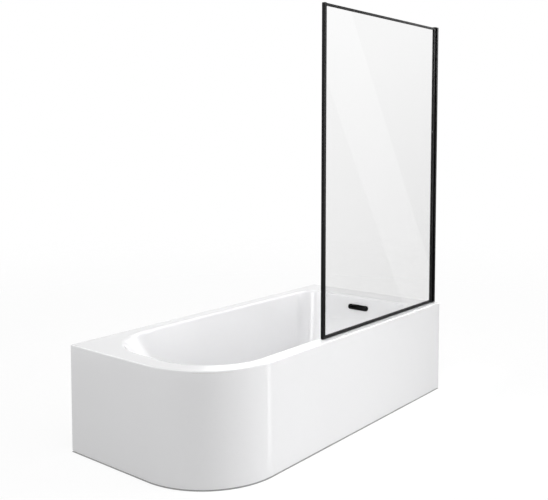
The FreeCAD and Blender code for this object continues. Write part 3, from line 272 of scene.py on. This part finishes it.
def planed_pine():
    """Planed softwood along the rim: pale straw with darker growth rings drawn out along the batten."""
    material, tree, place = start_material("softwood_batten")
    drawn = add(tree, "Mapping", {"vector_type": "TEXTURE"}, {"Vector": place, "Scale": RING_RUN})
    ring = add(tree, "TexWave", {"bands_direction": "DIAGONAL"}, {
        "Vector": drawn.outputs["Vector"], "Scale": per(36), "Distortion": 5, "Detail": 2,
    })
    fibre = add(tree, "TexNoise", inputs={"Vector": drawn.outputs["Vector"], "Scale": per(1.5), "Detail": 3})
    mixed = add(tree, "Math", {"operation": "MULTIPLY_ADD"},
                {0: fibre.outputs["Fac"], 1: FIBRE_SHARE, 2: ring.outputs["Fac"]})
    level = add(tree, "MapRange", inputs={"Value": mixed.outputs[0], "From Min": 0.1, "From Max": 1.25})
    tint = add(tree, "ValToRGB", inputs={"Fac": level.outputs["Result"]},
               tones=("#DDBF8B", "#D2AD72", "#B98C4E"))
    gloss = add(tree, "MapRange", inputs={"Value": fibre.outputs["Fac"], "To Min": 0.5, "To Max": 0.78})
    bump = add(tree, "Bump", inputs={"Height": mixed.outputs[0], "Strength": 0.35, "Distance": 0.15 * MM})
    body = add(tree, "BsdfPrincipled", inputs={
        "Base Color": tint.outputs["Color"], "Roughness": gloss.outputs["Result"],
        "Normal": bump.outputs["Normal"],
    })
    show(tree, body.outputs["BSDF"])
    return material


def toughened_glass():
    """Clear toughened glass, 6 mm: a little grey, with the slight roller waves of tempering in its
    reflections. Lamps shine through it."""
    material, tree, place = start_material("toughened_glass_clear")
    wave = add(tree, "TexNoise", inputs={"Vector": place, "Scale": per(220), "Detail": 1})
    bump = add(tree, "Bump", inputs={"Height": wave.outputs["Fac"], "Strength": 0.05, "Distance": 0.3 * MM})
    film = add(tree, "TexNoise", inputs={"Vector": place, "Scale": per(300), "Detail": 2})
    tint = add(tree, "ValToRGB", inputs={"Fac": film.outputs["Fac"]}, tones=("#FAFAFA", "#FCFCFC"))
    body = add(tree, "BsdfPrincipled", inputs={
        "Base Color": tint.outputs["Color"], "Roughness": 0.0, "IOR": 1.5, "Transmission Weight": 1.0,
        "Normal": bump.outputs["Normal"],
    })
    clear = add(tree, "BsdfTransparent", inputs={"Color": linear("#F0F0F0")})
    rays = add(tree, "LightPath")
    blend = add(tree, "MixShader", inputs={
        "Fac": rays.outputs["Is Shadow Ray"], 1: body.outputs["BSDF"], 2: clear.outputs["BSDF"],
    })
    show(tree, blend.outputs["Shader"])
    return material


# Points that the shell and the apron lie round, the level below which the shell's back begins, and the half
# widths of its hull under the rim
SHELL_MIDDLE = (-0.03, 0, 0.5)
SHELL_BACK_TOP = 0.4424
SHELL_HULL = (0.765, 0.352)
APRON_MIDDLE = (0.2, 0.1, 0.25)

pine = planed_pine()
shell_acrylic = backed_acrylic("cast_acrylic_on_glass_fibre", SHELL_MIDDLE, True, SHELL_BACK_TOP, SHELL_HULL)
panel_acrylic = backed_acrylic("cast_acrylic_panel", APRON_MIDDLE, False, NO_LIMIT, (NO_LIMIT, NO_LIMIT))
# Bright zinc on small turned and rolled steel: smoother than the sheet, with a faint warm cast.
zinc = grained("zinc_plated_steel", ("#A9AAA4", "#C3C3BC"), 6, (0.22, 0.36), 0.03, Metallic=1.0)
FINISHES = {
    "white_acrylic": shell_acrylic,
    "timber": particle_board(),
    "galvanised_steel": galvanised_steel(),
    # Black polypropylene: a moulded satin skin. The grain is drawn at 2 mm, coarser than the real one.
    "black_plastic": grained("polypropylene_black", ("#111213", "#1A1B1D"), 2, (0.4, 0.56), 0.06),
    # Black plated brass: denser and smoother than the frame's coat, so small highlights stay crisp.
    "black_metal": grained("black_plated_brass", ("#050505", "#0A0A0B"), 14, (0.26, 0.36), 0.02,
                           Specular_IOR_Level=0.12),
    # White polypropylene: a waxy off-white, with broad faint marks where the melt flowed.
    "pipe_plastic": grained("polypropylene_white", ("#DEDED8", "#EAEAE5"), 45, (0.34, 0.48), 0.12, detail=3,
                            Subsurface_Weight=0.1, Subsurface_Radius=(2 * MM, 2 * MM, 2 * MM)),
    # Soft black rubber: dull and a little dusty.
    "black_rubber": grained("rubber_black", ("#111112", "#1D1D1E"), 4, (0.62, 0.84), 0.05),
    # Turned stainless steel: fine rings round the pins.
    "pivot_steel": grained("stainless_steel_turned", ("#A6A8A8", "#BDBFBF"), 0.6, (0.18, 0.34), 0.01,
                           stretch=(40, 40, 1), Metallic=1.0),
    # Acetal bearing bush: a hard, slightly greasy black.
    "bush_plastic": grained("acetal_black", ("#121213", "#1B1B1C"), 20, (0.28, 0.4), 0.03),
    # Aluminium extrusion in matt black powder coat: a fine grain that spreads highlights into a soft grey
    # band along each edge. The grain is drawn at 3 mm, coarser than the real one, so that it shows.
    "black_aluminium": grained("powder_coated_aluminium_black", ("#050506", "#0B0B0C"), 3, (0.36, 0.48), 0.05,
                               Specular_IOR_Level=0.12),
    "clear_glass": toughened_glass(),
}
SPECIAL = {"apron_panel": panel_acrylic, "rim_batten_front": pine, "rim_batten_back": pine}

for part in frame["record"]["subparts"]:
    mesh = nodes[part["node"]].data
    mesh.materials.clear()
    mesh.materials.append(SPECIAL.get(part["node"], FINISHES[part["material_slot"]]))


# Fastenings and fittings that the solids hold in a plain form

# The angle from which an edge stays hard, and the distance within which points become one
SHARP = math.radians(32)
MERGE = 0.02 * MM
UP = Vector((0, 0, 1))


def centre_of(node):
    """The middle of a node's box."""
    low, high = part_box(node)
    return (low + high) / 2


def section(shape, points, closed=False):
    """A chain of edges through points given as radius and height; returns it as geometry to turn."""
    spots = [shape.verts.new((radius, 0, height)) for radius, height in points]
    pairs = list(zip(spots, spots[1:]))
    if closed:
        pairs.append((spots[-1], spots[0]))
    return spots + [shape.edges.new(pair) for pair in pairs]


def turn(shape, geometry, steps):
    """Turn a section full round the upright axis and close the seam and the poles."""
    bmesh.ops.spin(shape, geom=geometry, cent=(0, 0, 0), axis=UP, angle=TURN, steps=steps, use_merge=True)
    bmesh.ops.remove_doubles(shape, verts=shape.verts, dist=MERGE)


def open_edges(shape, height=None):
    """The shape's open edges, or only those that lie at a height."""
    edges = [edge for edge in shape.edges if edge.is_boundary or edge.is_wire]
    if height is None:
        return edges
    return [edge for edge in edges if all(abs(spot.co.z - height) < MERGE for spot in edge.verts)]


def repeated(master, placings):
    """A shape with a copy of the master at each place."""
    shape = bmesh.new()
    copy = bpy.data.meshes.new("copy")
    for placing in placings:
        master.to_mesh(copy)
        copy.transform(placing)
        shape.from_mesh(copy)
    bpy.data.meshes.remove(copy)
    return shape


def piece(name, shape, material, body, node):
    """Turn a shape into a piece that rides on a body and stands for a node."""
    bmesh.ops.recalc_face_normals(shape, faces=shape.faces)
    mesh = bpy.data.meshes.new(name)
    shape.to_mesh(mesh)
    shape.free()
    mesh.shade_smooth()
    mesh.set_sharp_from_angle(angle=SHARP)
    mesh.materials.append(material)
    made = bpy.data.objects.new(name, mesh)
    bpy.context.scene.collection.objects.link(made)
    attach(made, body)
    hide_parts(node)


THREAD_PITCH = 1.5 * MM
THREAD_DEPTH = 0.75 * MM
THREAD_SEGMENTS = 28


def threaded_rod(radius, length):
    """A rod whose thread is one tooth wound up the axis, cut square at both ends."""
    shape = bmesh.new()
    root = radius - THREAD_DEPTH
    tooth = section(shape, [(root, -THREAD_PITCH), (radius, -THREAD_PITCH / 2), (root, 0)])
    turns = math.ceil(length / THREAD_PITCH) + 1
    bmesh.ops.spin(shape, geom=tooth, cent=(0, 0, 0), axis=UP, dvec=UP * THREAD_PITCH / THREAD_SEGMENTS,
                   angle=TURN * turns, steps=THREAD_SEGMENTS * turns)
    bmesh.ops.remove_doubles(shape, verts=shape.verts, dist=MERGE)
    for height, outward in ((0, -UP), (length, UP)):
        bmesh.ops.bisect_plane(shape, geom=shape.verts[:] + shape.edges[:] + shape.faces[:],
                               plane_co=UP * height, plane_no=outward, clear_outer=True)
    bmesh.ops.remove_doubles(shape, verts=shape.verts, dist=MERGE)
    bmesh.ops.holes_fill(shape, edges=open_edges(shape))
    return shape


LEGS = ("left", "middle", "right")
FEET = [f"{leg}_{side}" for leg in LEGS for side in ("front", "back")]
stud_low, stud_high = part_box(f"foot_stud_{FEET[0]}")
rod = threaded_rod((stud_high.x - stud_low.x) / 2, stud_high.z - stud_low.z)
for foot in FEET:
    node = f"foot_stud_{foot}"
    middle = centre_of(node)
    stud = repeated(rod, [Matrix.Translation((middle.x, middle.y, stud_low.z))])
    piece(f"threaded_stud_{foot}", stud, zinc, f"foot_{foot}", node)

NUT_ACROSS_CORNERS = 18.7 * MM
NUT_ACROSS_FLATS = 16.45 * MM
NUT_FACE = 15.8 * MM
NUT_HEIGHT = 8 * MM
NUT_CHAMFER = 0.9 * MM
NUT_BORE_RADIUS = 5.2 * MM
NUT_SIDES = 6
NUT_SEGMENTS = 48


def hex_nut():
    """A hexagon nut: a turned ring with chamfered ends, cut to six flats."""
    shape = bmesh.new()
    corner = NUT_ACROSS_CORNERS / 2
    ring = section(shape, [
        (NUT_BORE_RADIUS, 0), (NUT_FACE / 2, 0), (corner, NUT_CHAMFER),
        (corner, NUT_HEIGHT - NUT_CHAMFER), (NUT_FACE / 2, NUT_HEIGHT), (NUT_BORE_RADIUS, NUT_HEIGHT),
    ], closed=True)
    turn(shape, ring, NUT_SEGMENTS)
    for side in range(NUT_SIDES):
        outward = Matrix.Rotation(TURN * (side + 0.5) / NUT_SIDES, 3, "Z") @ Vector((1, 0, 0))
        bmesh.ops.bisect_plane(shape, geom=shape.verts[:] + shape.edges[:] + shape.faces[:],
                               plane_co=outward * NUT_ACROSS_FLATS / 2, plane_no=outward, clear_outer=True)
        bmesh.ops.remove_doubles(shape, verts=shape.verts, dist=MERGE)
        bmesh.ops.holes_fill(shape, edges=open_edges(shape))
    return shape


nut_low, nut_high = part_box("foot_nuts")
nut_places = []
for foot in FEET:
    middle = centre_of(f"foot_stud_{foot}")
    for height in (nut_low.z, nut_high.z - NUT_HEIGHT):
        nut_places.append(Matrix.Translation((middle.x, middle.y, height)))
piece("lock_nuts", repeated(hex_nut(), nut_places), zinc, "bath", "foot_nuts")

HEAD_RADIUS = 4.5 * MM
HEAD_HEIGHT = 2.5 * MM
# The head's outline from its seat to its top, in shares of its radius and height
HEAD_OUTLINE = ((1, 0), (1, 0.4), (0.94, 0.66), (0.8, 0.86), (0.62, 1))
SHANK_RADIUS = 1.95 * MM
# The share of the shank that runs straight before its point
SHANK_STRAIGHT = 0.85
RECESS_ARM = 2.4 * MM
RECESS_CELLS = 3
RECESS_DEPTH = 1.5 * MM
RECESS_TAPER = 0.6
SCREW_SEGMENTS = 36


def pan_screw(length):
    """A pan head screw with a cross recess: its head stands on the origin and its pointed shank runs down."""
    shape = bmesh.new()
    outline = section(shape, [
        (0, -length), (SHANK_RADIUS, -length * SHANK_STRAIGHT), (SHANK_RADIUS, 0),
        *[(HEAD_RADIUS * out, HEAD_HEIGHT * up) for out, up in HEAD_OUTLINE],
    ])
    turn(shape, outline, SCREW_SEGMENTS)
    grid = bmesh.ops.create_grid(shape, x_segments=RECESS_CELLS, y_segments=RECESS_CELLS, size=RECESS_ARM,
                                 matrix=Matrix.Translation(UP * HEAD_HEIGHT))
    grid_spots = set(grid["verts"])
    cells = [face for face in shape.faces if grid_spots.issuperset(face.verts)]
    corners = [cell for cell in cells
               if min(abs(offset) for offset in cell.calc_center_median().xy) > RECESS_ARM / RECESS_CELLS]
    recess = [cell for cell in cells if cell not in corners]
    bmesh.ops.delete(shape, geom=corners, context="FACES")
    sunk = bmesh.ops.extrude_face_region(shape, geom=recess)["geom"]
    bmesh.ops.delete(shape, geom=recess, context="FACES")
    floor_spots = [item for item in sunk if isinstance(item, bmesh.types.BMVert)]
    bmesh.ops.translate(shape, verts=floor_spots, vec=-UP * RECESS_DEPTH)
    bmesh.ops.scale(shape, verts=floor_spots, vec=(RECESS_TAPER, RECESS_TAPER, 1))
    bmesh.ops.triangle_fill(shape, use_beauty=True, edges=open_edges(shape, HEAD_HEIGHT), normal=UP)
    return shape


screw_low, screw_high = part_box("channel_screws")
seat = screw_low.z + HEAD_HEIGHT
screw_places = []
for leg in LEGS:
    x = centre_of(f"leg_channel_{leg}").x
    for y in (screw_low.y + HEAD_RADIUS, screw_high.y - HEAD_RADIUS):
        screw_places.append(Matrix.Translation((x, y, seat)) @ Matrix.Rotation(math.pi, 4, "X"))
wood_screws = repeated(pan_screw(screw_high.z - seat), screw_places)
piece("wood_screws", wood_screws, zinc, "bath", "channel_screws")

clamp_low, clamp_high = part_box("post_screws")
middle = centre_of("post_screws")
clamp_seat = clamp_high.y - HEAD_HEIGHT
clamp_places = []
for height in (clamp_low.z + HEAD_RADIUS, middle.z, clamp_high.z - HEAD_RADIUS):
    place = Matrix.Translation((middle.x, clamp_seat, height))
    clamp_places.append(place @ Matrix.Rotation(-math.pi / 2, 4, "X"))
clamp_screws = repeated(pan_screw(clamp_seat - clamp_low.y), clamp_places)
piece("clamp_screws", clamp_screws, FINISHES["pivot_steel"], "bath", "post_screws")

# A nut's steps for each rib and flute, the slope at a flute's edge, and the turns from upright to each axis
FLUTE_STEPS = 4
FLUTE_EDGE = 0.3 * MM
ALONG = {"x": Matrix.Rotation(math.pi / 2, 4, "Y"), "y": Matrix.Rotation(-math.pi / 2, 4, "X"),
         "z": Matrix.Identity(4)}


def ribbed_nut(node, axis, bore_radius, ribs, depth):
    """A moulded compression nut: a turned ring with grip ribs left standing between sunk flutes."""
    low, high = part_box(node)
    length = (high - low)["xyz".index(axis)]
    outer = max(high - low) / 2
    shape = bmesh.new()
    ring = section(shape, [
        (bore_radius, 0), (outer - depth, 0), (outer, depth), (outer, length - depth),
        (outer - depth, length), (bore_radius, length),
    ], closed=True)
    steps = ribs * FLUTE_STEPS
    turn(shape, ring, steps)
    flutes = []
    for face in shape.faces:
        middle = face.calc_center_median()
        sector = int(math.atan2(middle.y, middle.x) % TURN / TURN * steps)
        on_wall = middle.xy.length > outer - depth / 2 and depth < middle.z < length - depth
        if on_wall and sector % FLUTE_STEPS < FLUTE_STEPS / 2:
            flutes.append(face)
    bmesh.ops.inset_region(shape, faces=flutes, thickness=FLUTE_EDGE, depth=-depth, use_boundary=True,
                           use_even_offset=True)
    start = centre_of(node)
    start["xyz".index(axis)] = low["xyz".index(axis)]
    bmesh.ops.transform(shape, matrix=Matrix.Translation(start) @ ALONG[axis], verts=shape.verts)
    piece(f"ribbed_{node}", shape, FINISHES["pipe_plastic"], "bath", node)


ribbed_nut("overflow_nut", axis="x", bore_radius=16.3 * MM, ribs=20, depth=1.4 * MM)
ribbed_nut("trap_nut", axis="z", bore_radius=22.3 * MM, ribs=30, depth=1.2 * MM)
ribbed_nut("outlet_nut", axis="y", bore_radius=20.3 * MM, ribs=24, depth=1.6 * MM)


# Stage: floor, light and camera

def ray_kinds(tree):
    """Two masks: rays of the view itself, straight or through glass, and rays that gloss or glass mirrors."""
    rays = add(tree, "LightPath")
    scattered = add(tree, "Math", {"operation": "MINIMUM"}, {0: rays.outputs["Diffuse Depth"], 1: 1})
    mirrored = add(tree, "Math", {"operation": "MINIMUM"}, {0: rays.outputs["Glossy Depth"], 1: 1})
    bounced = add(tree, "Math", {"operation": "MAXIMUM"}, {0: scattered.outputs[0], 1: mirrored.outputs[0]})
    through = add(tree, "Math", {"operation": "SUBTRACT", "use_clamp": True},
                  {0: rays.outputs["Is Transmission Ray"], 1: bounced.outputs[0]})
    view = add(tree, "Math", {"operation": "MAXIMUM"},
               {0: rays.outputs["Is Camera Ray"], 1: through.outputs[0]})
    mirror = add(tree, "Math", {"operation": "SUBTRACT", "use_clamp": True},
                 {0: mirrored.outputs[0], 1: scattered.outputs[0]})
    return view.outputs[0], mirror.outputs[0]


# The floor's half width and its cells each way, and where its fade begins and ends, for the view and for
# mirrored rays
FLOOR_HALF = 9
FLOOR_CELLS = 8
FLOOR_NEAR = 1.5
FLOOR_FAR = 7.0
MIRRORED_NEAR = 2.0
MIRRORED_FAR = 2.75
# Its colours for the rays that light the bath and for the view, and its own glow in the view
FLOOR_TONES = ("#CCCCCC", "#7A7A7A")
FLOOR_GLOW = 0.84
# The glow that is taken away under the bath, the width of the dark line along the apron's foot, and the
# length over which the shade comes in from the open back and right end
GAP_SHADE = 0.75
GAP_LIP = 0.06
GAP_FADE = 0.35
# The centre and radius of the wide corner in the bath's footprint, and the way from the centre to the corner
CORNER_CENTRE = (-0.515, -0.065, 0)
CORNER_RADIUS = 0.335
TO_CORNER = (-1, -1, 0)


def floor():
    """A pale floor that keeps the bath's shadow and fades into the white behind. Its glow stops along the
    apron's foot, so that the gap there stays dark, and comes back towards the open back and right end."""
    mesh = bpy.data.meshes.new("studio_floor")
    shape = bmesh.new()
    bmesh.ops.create_grid(shape, x_segments=FLOOR_CELLS, y_segments=FLOOR_CELLS, size=FLOOR_HALF)
    shape.to_mesh(mesh)
    shape.free()
    plane = bpy.data.objects.new("studio_floor", mesh)
    bpy.context.scene.collection.objects.link(plane)
    material, tree, place = start_material("studio_floor_white")
    view, mirror = ray_kinds(tree)
    spot = add(tree, "SeparateXYZ", inputs={"Vector": place})
    past = add(tree, "VectorMath", {"operation": "MULTIPLY_ADD"},
               {0: place, 1: TO_CORNER, 2: CORNER_CENTRE})
    beyond = add(tree, "VectorMath", {"operation": "MAXIMUM"}, {0: past.outputs["Vector"], 1: (0, 0, 0)})
    reach = add(tree, "VectorMath", {"operation": "LENGTH"}, {0: beyond.outputs["Vector"]})
    bound = add(tree, "Math", {"operation": "LESS_THAN"}, {0: reach.outputs["Value"], 1: CORNER_RADIUS})
    clear_of_wall = add(tree, "Math", {"operation": "LESS_THAN"}, {0: spot.outputs["X"], 1: cad_box[1][0]})
    clear_behind = add(tree, "Math", {"operation": "LESS_THAN"}, {0: spot.outputs["Y"], 1: cad_box[1][1]})
    inside = add(tree, "Math", {"operation": "MULTIPLY"},
                 {0: clear_of_wall.outputs[0], 1: clear_behind.outputs[0]})
    covered = add(tree, "Math", {"operation": "MULTIPLY"}, {0: inside.outputs[0], 1: bound.outputs[0]})
    lip = add(tree, "MapRange", {"interpolation_type": "SMOOTHSTEP"}, {
        "Value": reach.outputs["Value"], "From Min": CORNER_RADIUS - GAP_LIP, "From Max": CORNER_RADIUS,
    })
    deep_right = add(tree, "MapRange", {"interpolation_type": "SMOOTHSTEP"}, {
        "Value": spot.outputs["X"], "From Min": cad_box[1][0], "From Max": cad_box[1][0] - GAP_FADE,
    })
    deep_back = add(tree, "MapRange", {"interpolation_type": "SMOOTHSTEP"}, {
        "Value": spot.outputs["Y"], "From Min": cad_box[1][1], "From Max": cad_box[1][1] - GAP_FADE,
    })
    deep = add(tree, "Math", {"operation": "MULTIPLY"},
               {0: deep_right.outputs["Result"], 1: deep_back.outputs["Result"]})
    shade = add(tree, "Math", {"operation": "MAXIMUM"}, {0: lip.outputs["Result"], 1: deep.outputs[0]})
    gap = add(tree, "Math", {"operation": "MULTIPLY"}, {0: covered.outputs[0], 1: shade.outputs[0]})
    lit = add(tree, "Math", {"operation": "MULTIPLY_ADD"}, {0: gap.outputs[0], 1: -GAP_SHADE, 2: view})
    glow = add(tree, "Math", {"operation": "MULTIPLY", "use_clamp": True}, {0: lit.outputs[0], 1: FLOOR_GLOW})
    tint = add(tree, "ValToRGB", inputs={"Fac": view}, tones=FLOOR_TONES)
    shader = add(tree, "BsdfPrincipled", inputs={
        "Base Color": tint.outputs["Color"], "Roughness": 0.9, "Specular IOR Level": 0.0,
        "Emission Color": (1, 1, 1, 1), "Emission Strength": glow.outputs[0],
    })
    away = add(tree, "VectorMath", {"operation": "LENGTH"}, {0: place})
    near = add(tree, "MapRange", inputs={"Value": mirror, "To Min": FLOOR_NEAR, "To Max": MIRRORED_NEAR})
    far = add(tree, "MapRange", inputs={"Value": mirror, "To Min": FLOOR_FAR, "To Max": MIRRORED_FAR})
    fade = add(tree, "MapRange", {"interpolation_type": "SMOOTHSTEP"}, {
        "Value": away.outputs["Value"],
        "From Min": near.outputs["Result"], "From Max": far.outputs["Result"],
    })
    side = add(tree, "NewGeometry")
    hidden = add(tree, "Math", {"operation": "MAXIMUM"},
                 {0: fade.outputs["Result"], 1: side.outputs["Backfacing"]})
    clear = add(tree, "BsdfTransparent")
    blend = add(tree, "MixShader", inputs={
        "Fac": hidden.outputs[0], 1: shader.outputs["BSDF"], 2: clear.outputs["BSDF"],
    })
    show(tree, blend.outputs["Shader"])
    mesh.materials.append(material)


# The room's level as a light, beside full white for the view and for gloss
ROOM_LEVEL = 0.67
# The side of the room that the screen mirrors into the view. It darkens as a ray turns towards it and as the
# ray drops
DARK_SIDE = (0.848, -0.53, 0)
DARK_BEGINS, DARK_FULL = 0.6, 0.9
DARK_TOP, DARK_FOOT = 0.3, -0.22


def surroundings():
    """A white room for the camera, glass and gloss, and soft light of a plain level for the rest. What gloss
    and glass reflect darkens towards the ground at the front right, where the screen looks."""
    world = bpy.data.worlds.new("studio")
    bpy.context.scene.world = world
    world.use_nodes = True
    tree = world.node_tree
    tree.nodes.clear()
    view, mirror = ray_kinds(tree)
    direction = add(tree, "TexCoord").outputs["Generated"]
    facing = add(tree, "VectorMath", {"operation": "DOT_PRODUCT"}, {0: direction, 1: DARK_SIDE})
    near = add(tree, "MapRange", {"interpolation_type": "SMOOTHSTEP"},
               {"Value": facing.outputs["Value"], "From Min": DARK_BEGINS, "From Max": DARK_FULL})
    rise = add(tree, "SeparateXYZ", inputs={"Vector": direction})
    low = add(tree, "MapRange", {"interpolation_type": "SMOOTHSTEP"},
              {"Value": rise.outputs["Z"], "From Min": DARK_TOP, "From Max": DARK_FOOT})
    dark = add(tree, "Math", {"operation": "MULTIPLY"}, {0: near.outputs["Result"], 1: low.outputs["Result"]})
    shine = add(tree, "MapRange", inputs={
        "Value": dark.outputs[0], "To Min": 1 - ROOM_LEVEL, "To Max": -ROOM_LEVEL,
    })
    mirrored = add(tree, "Math", {"operation": "MULTIPLY_ADD"},
                   {0: mirror, 1: shine.outputs["Result"], 2: ROOM_LEVEL})
    level = add(tree, "Math", {"operation": "MAXIMUM"}, {0: view, 1: mirrored.outputs[0]})
    glow = add(tree, "Background", inputs={"Color": (1, 1, 1, 1), "Strength": level.outputs[0]})
    add(tree, "OutputWorld", inputs={"Surface": glow.outputs["Background"]})


def softbox(name, place, target, size, power, spread=math.pi, roll=0):
    """An area lamp that faces a point and sheds its light within the spread."""
    lamp = bpy.data.lights.new(name, "AREA")
    lamp.shape = "RECTANGLE"
    lamp.size, lamp.size_y = size
    lamp.energy = power
    lamp.spread = spread
    holder = bpy.data.objects.new(name, lamp)
    bpy.context.scene.collection.objects.link(holder)
    holder.location = place
    aim = (Vector(target) - Vector(place)).to_track_quat("-Z", "Y").to_matrix()
    holder.rotation_euler = (aim @ Matrix.Rotation(roll, 3, "Z")).to_euler()
    return holder


def card(name, place, target, size, power, roll=0, through_glass=False):
    """A lit card that shows only in gloss, or also in gloss behind the glass, and adds no light."""
    holder = softbox(name, place, target, size, power, roll=roll)
    holder.visible_camera = False
    holder.visible_diffuse = False
    holder.visible_transmission = through_glass


# The camera's sensor and focal length in millimetres, the photograph's width and the drop of its middle in
# pixels, and the camera's place, tilt and turn
SENSOR_WIDTH = 36
FOCAL_LENGTH = 51.23
PHOTO_WIDTH = 548
PHOTO_DROP = 60
CAMERA_PLACE = (-2.7722, -2.2291, 1.2963)
CAMERA_TILT = math.radians(90 - 3.84)
CAMERA_TURN = math.radians(-51.06)


def camera():
    """The photograph's view: from the front left, a little above the screen's middle and looking slightly
    down. The shift brings the bath's foot into the frame, so that uprights stay nearly upright."""
    lens = bpy.data.cameras.new("photo_view")
    lens.sensor_width = SENSOR_WIDTH
    lens.lens = FOCAL_LENGTH
    lens.shift_y = -PHOTO_DROP / PHOTO_WIDTH
    holder = bpy.data.objects.new("photo_view", lens)
    bpy.context.scene.collection.objects.link(holder)
    holder.location = CAMERA_PLACE
    holder.rotation_euler = Euler((CAMERA_TILT, 0, CAMERA_TURN))
    bpy.context.scene.camera = holder


floor()
surroundings()
# Lamps: the key lights the front from the right, the others the basin, the front rim and the left end.
softbox("key", (2.6, -4.3, 1.25), (-1.0, -0.4, 0.45), (2.2, 2.2), 14.5, math.radians(55))
softbox("overhead", (-1.6, 0.6, 3.0), (0.85, 0.0, 0.4), (2.2, 1.6), 5.2, math.radians(65))
softbox("front_rim", (0.2, -0.46, 2.6), (0.2, -0.42, 0.45), (2.2, 0.06), 0.5, math.radians(12))
softbox("left_fill", (-4.2, 0.3, 1.6), (-0.85, 0.0, 0.3), (1.5, 1.5), 7)
# Cards, named after what they brighten. The glare is the slanting band on the glass, and the streak the thin
# upright line where the wide corner meets the flat front.
card("glare", (4.8, -3.0, 0.71), (4.8, 0.0, 0.71), (0.75, 4.4), 3.64, math.radians(32))
card("rim_front", (3.2, 2.7, 1.79), (0.0, 2.7, 1.79), (1.8, 0.42), 1.9, math.radians(21))
card("rim_back", (2.4, -0.4, 2.4), (0.0, 0.33, 0.45), (1.2, 2.0), 40)
card("backrest", (4.0, 0.1, 0.82), (-0.6, 0.3, 0.4), (3.6, 0.65), 16)
card("rim_left", (-1.69, 2.5, 2.6), (-0.85, 0.0, 0.45), (2.0, 1.2), 36)
card("corner_streak", (-0.4, -0.544, 0.2), (-0.54, -0.4, 0.2), (0.03, 0.4), 0.06)
card("basin_corner", (-2.37, -2.29, 1.72), (0.65, 0.27, 0.3), (0.9, 0.9), 18, through_glass=True)
camera()
bpy.context.scene.view_settings.view_transform = "Standard"
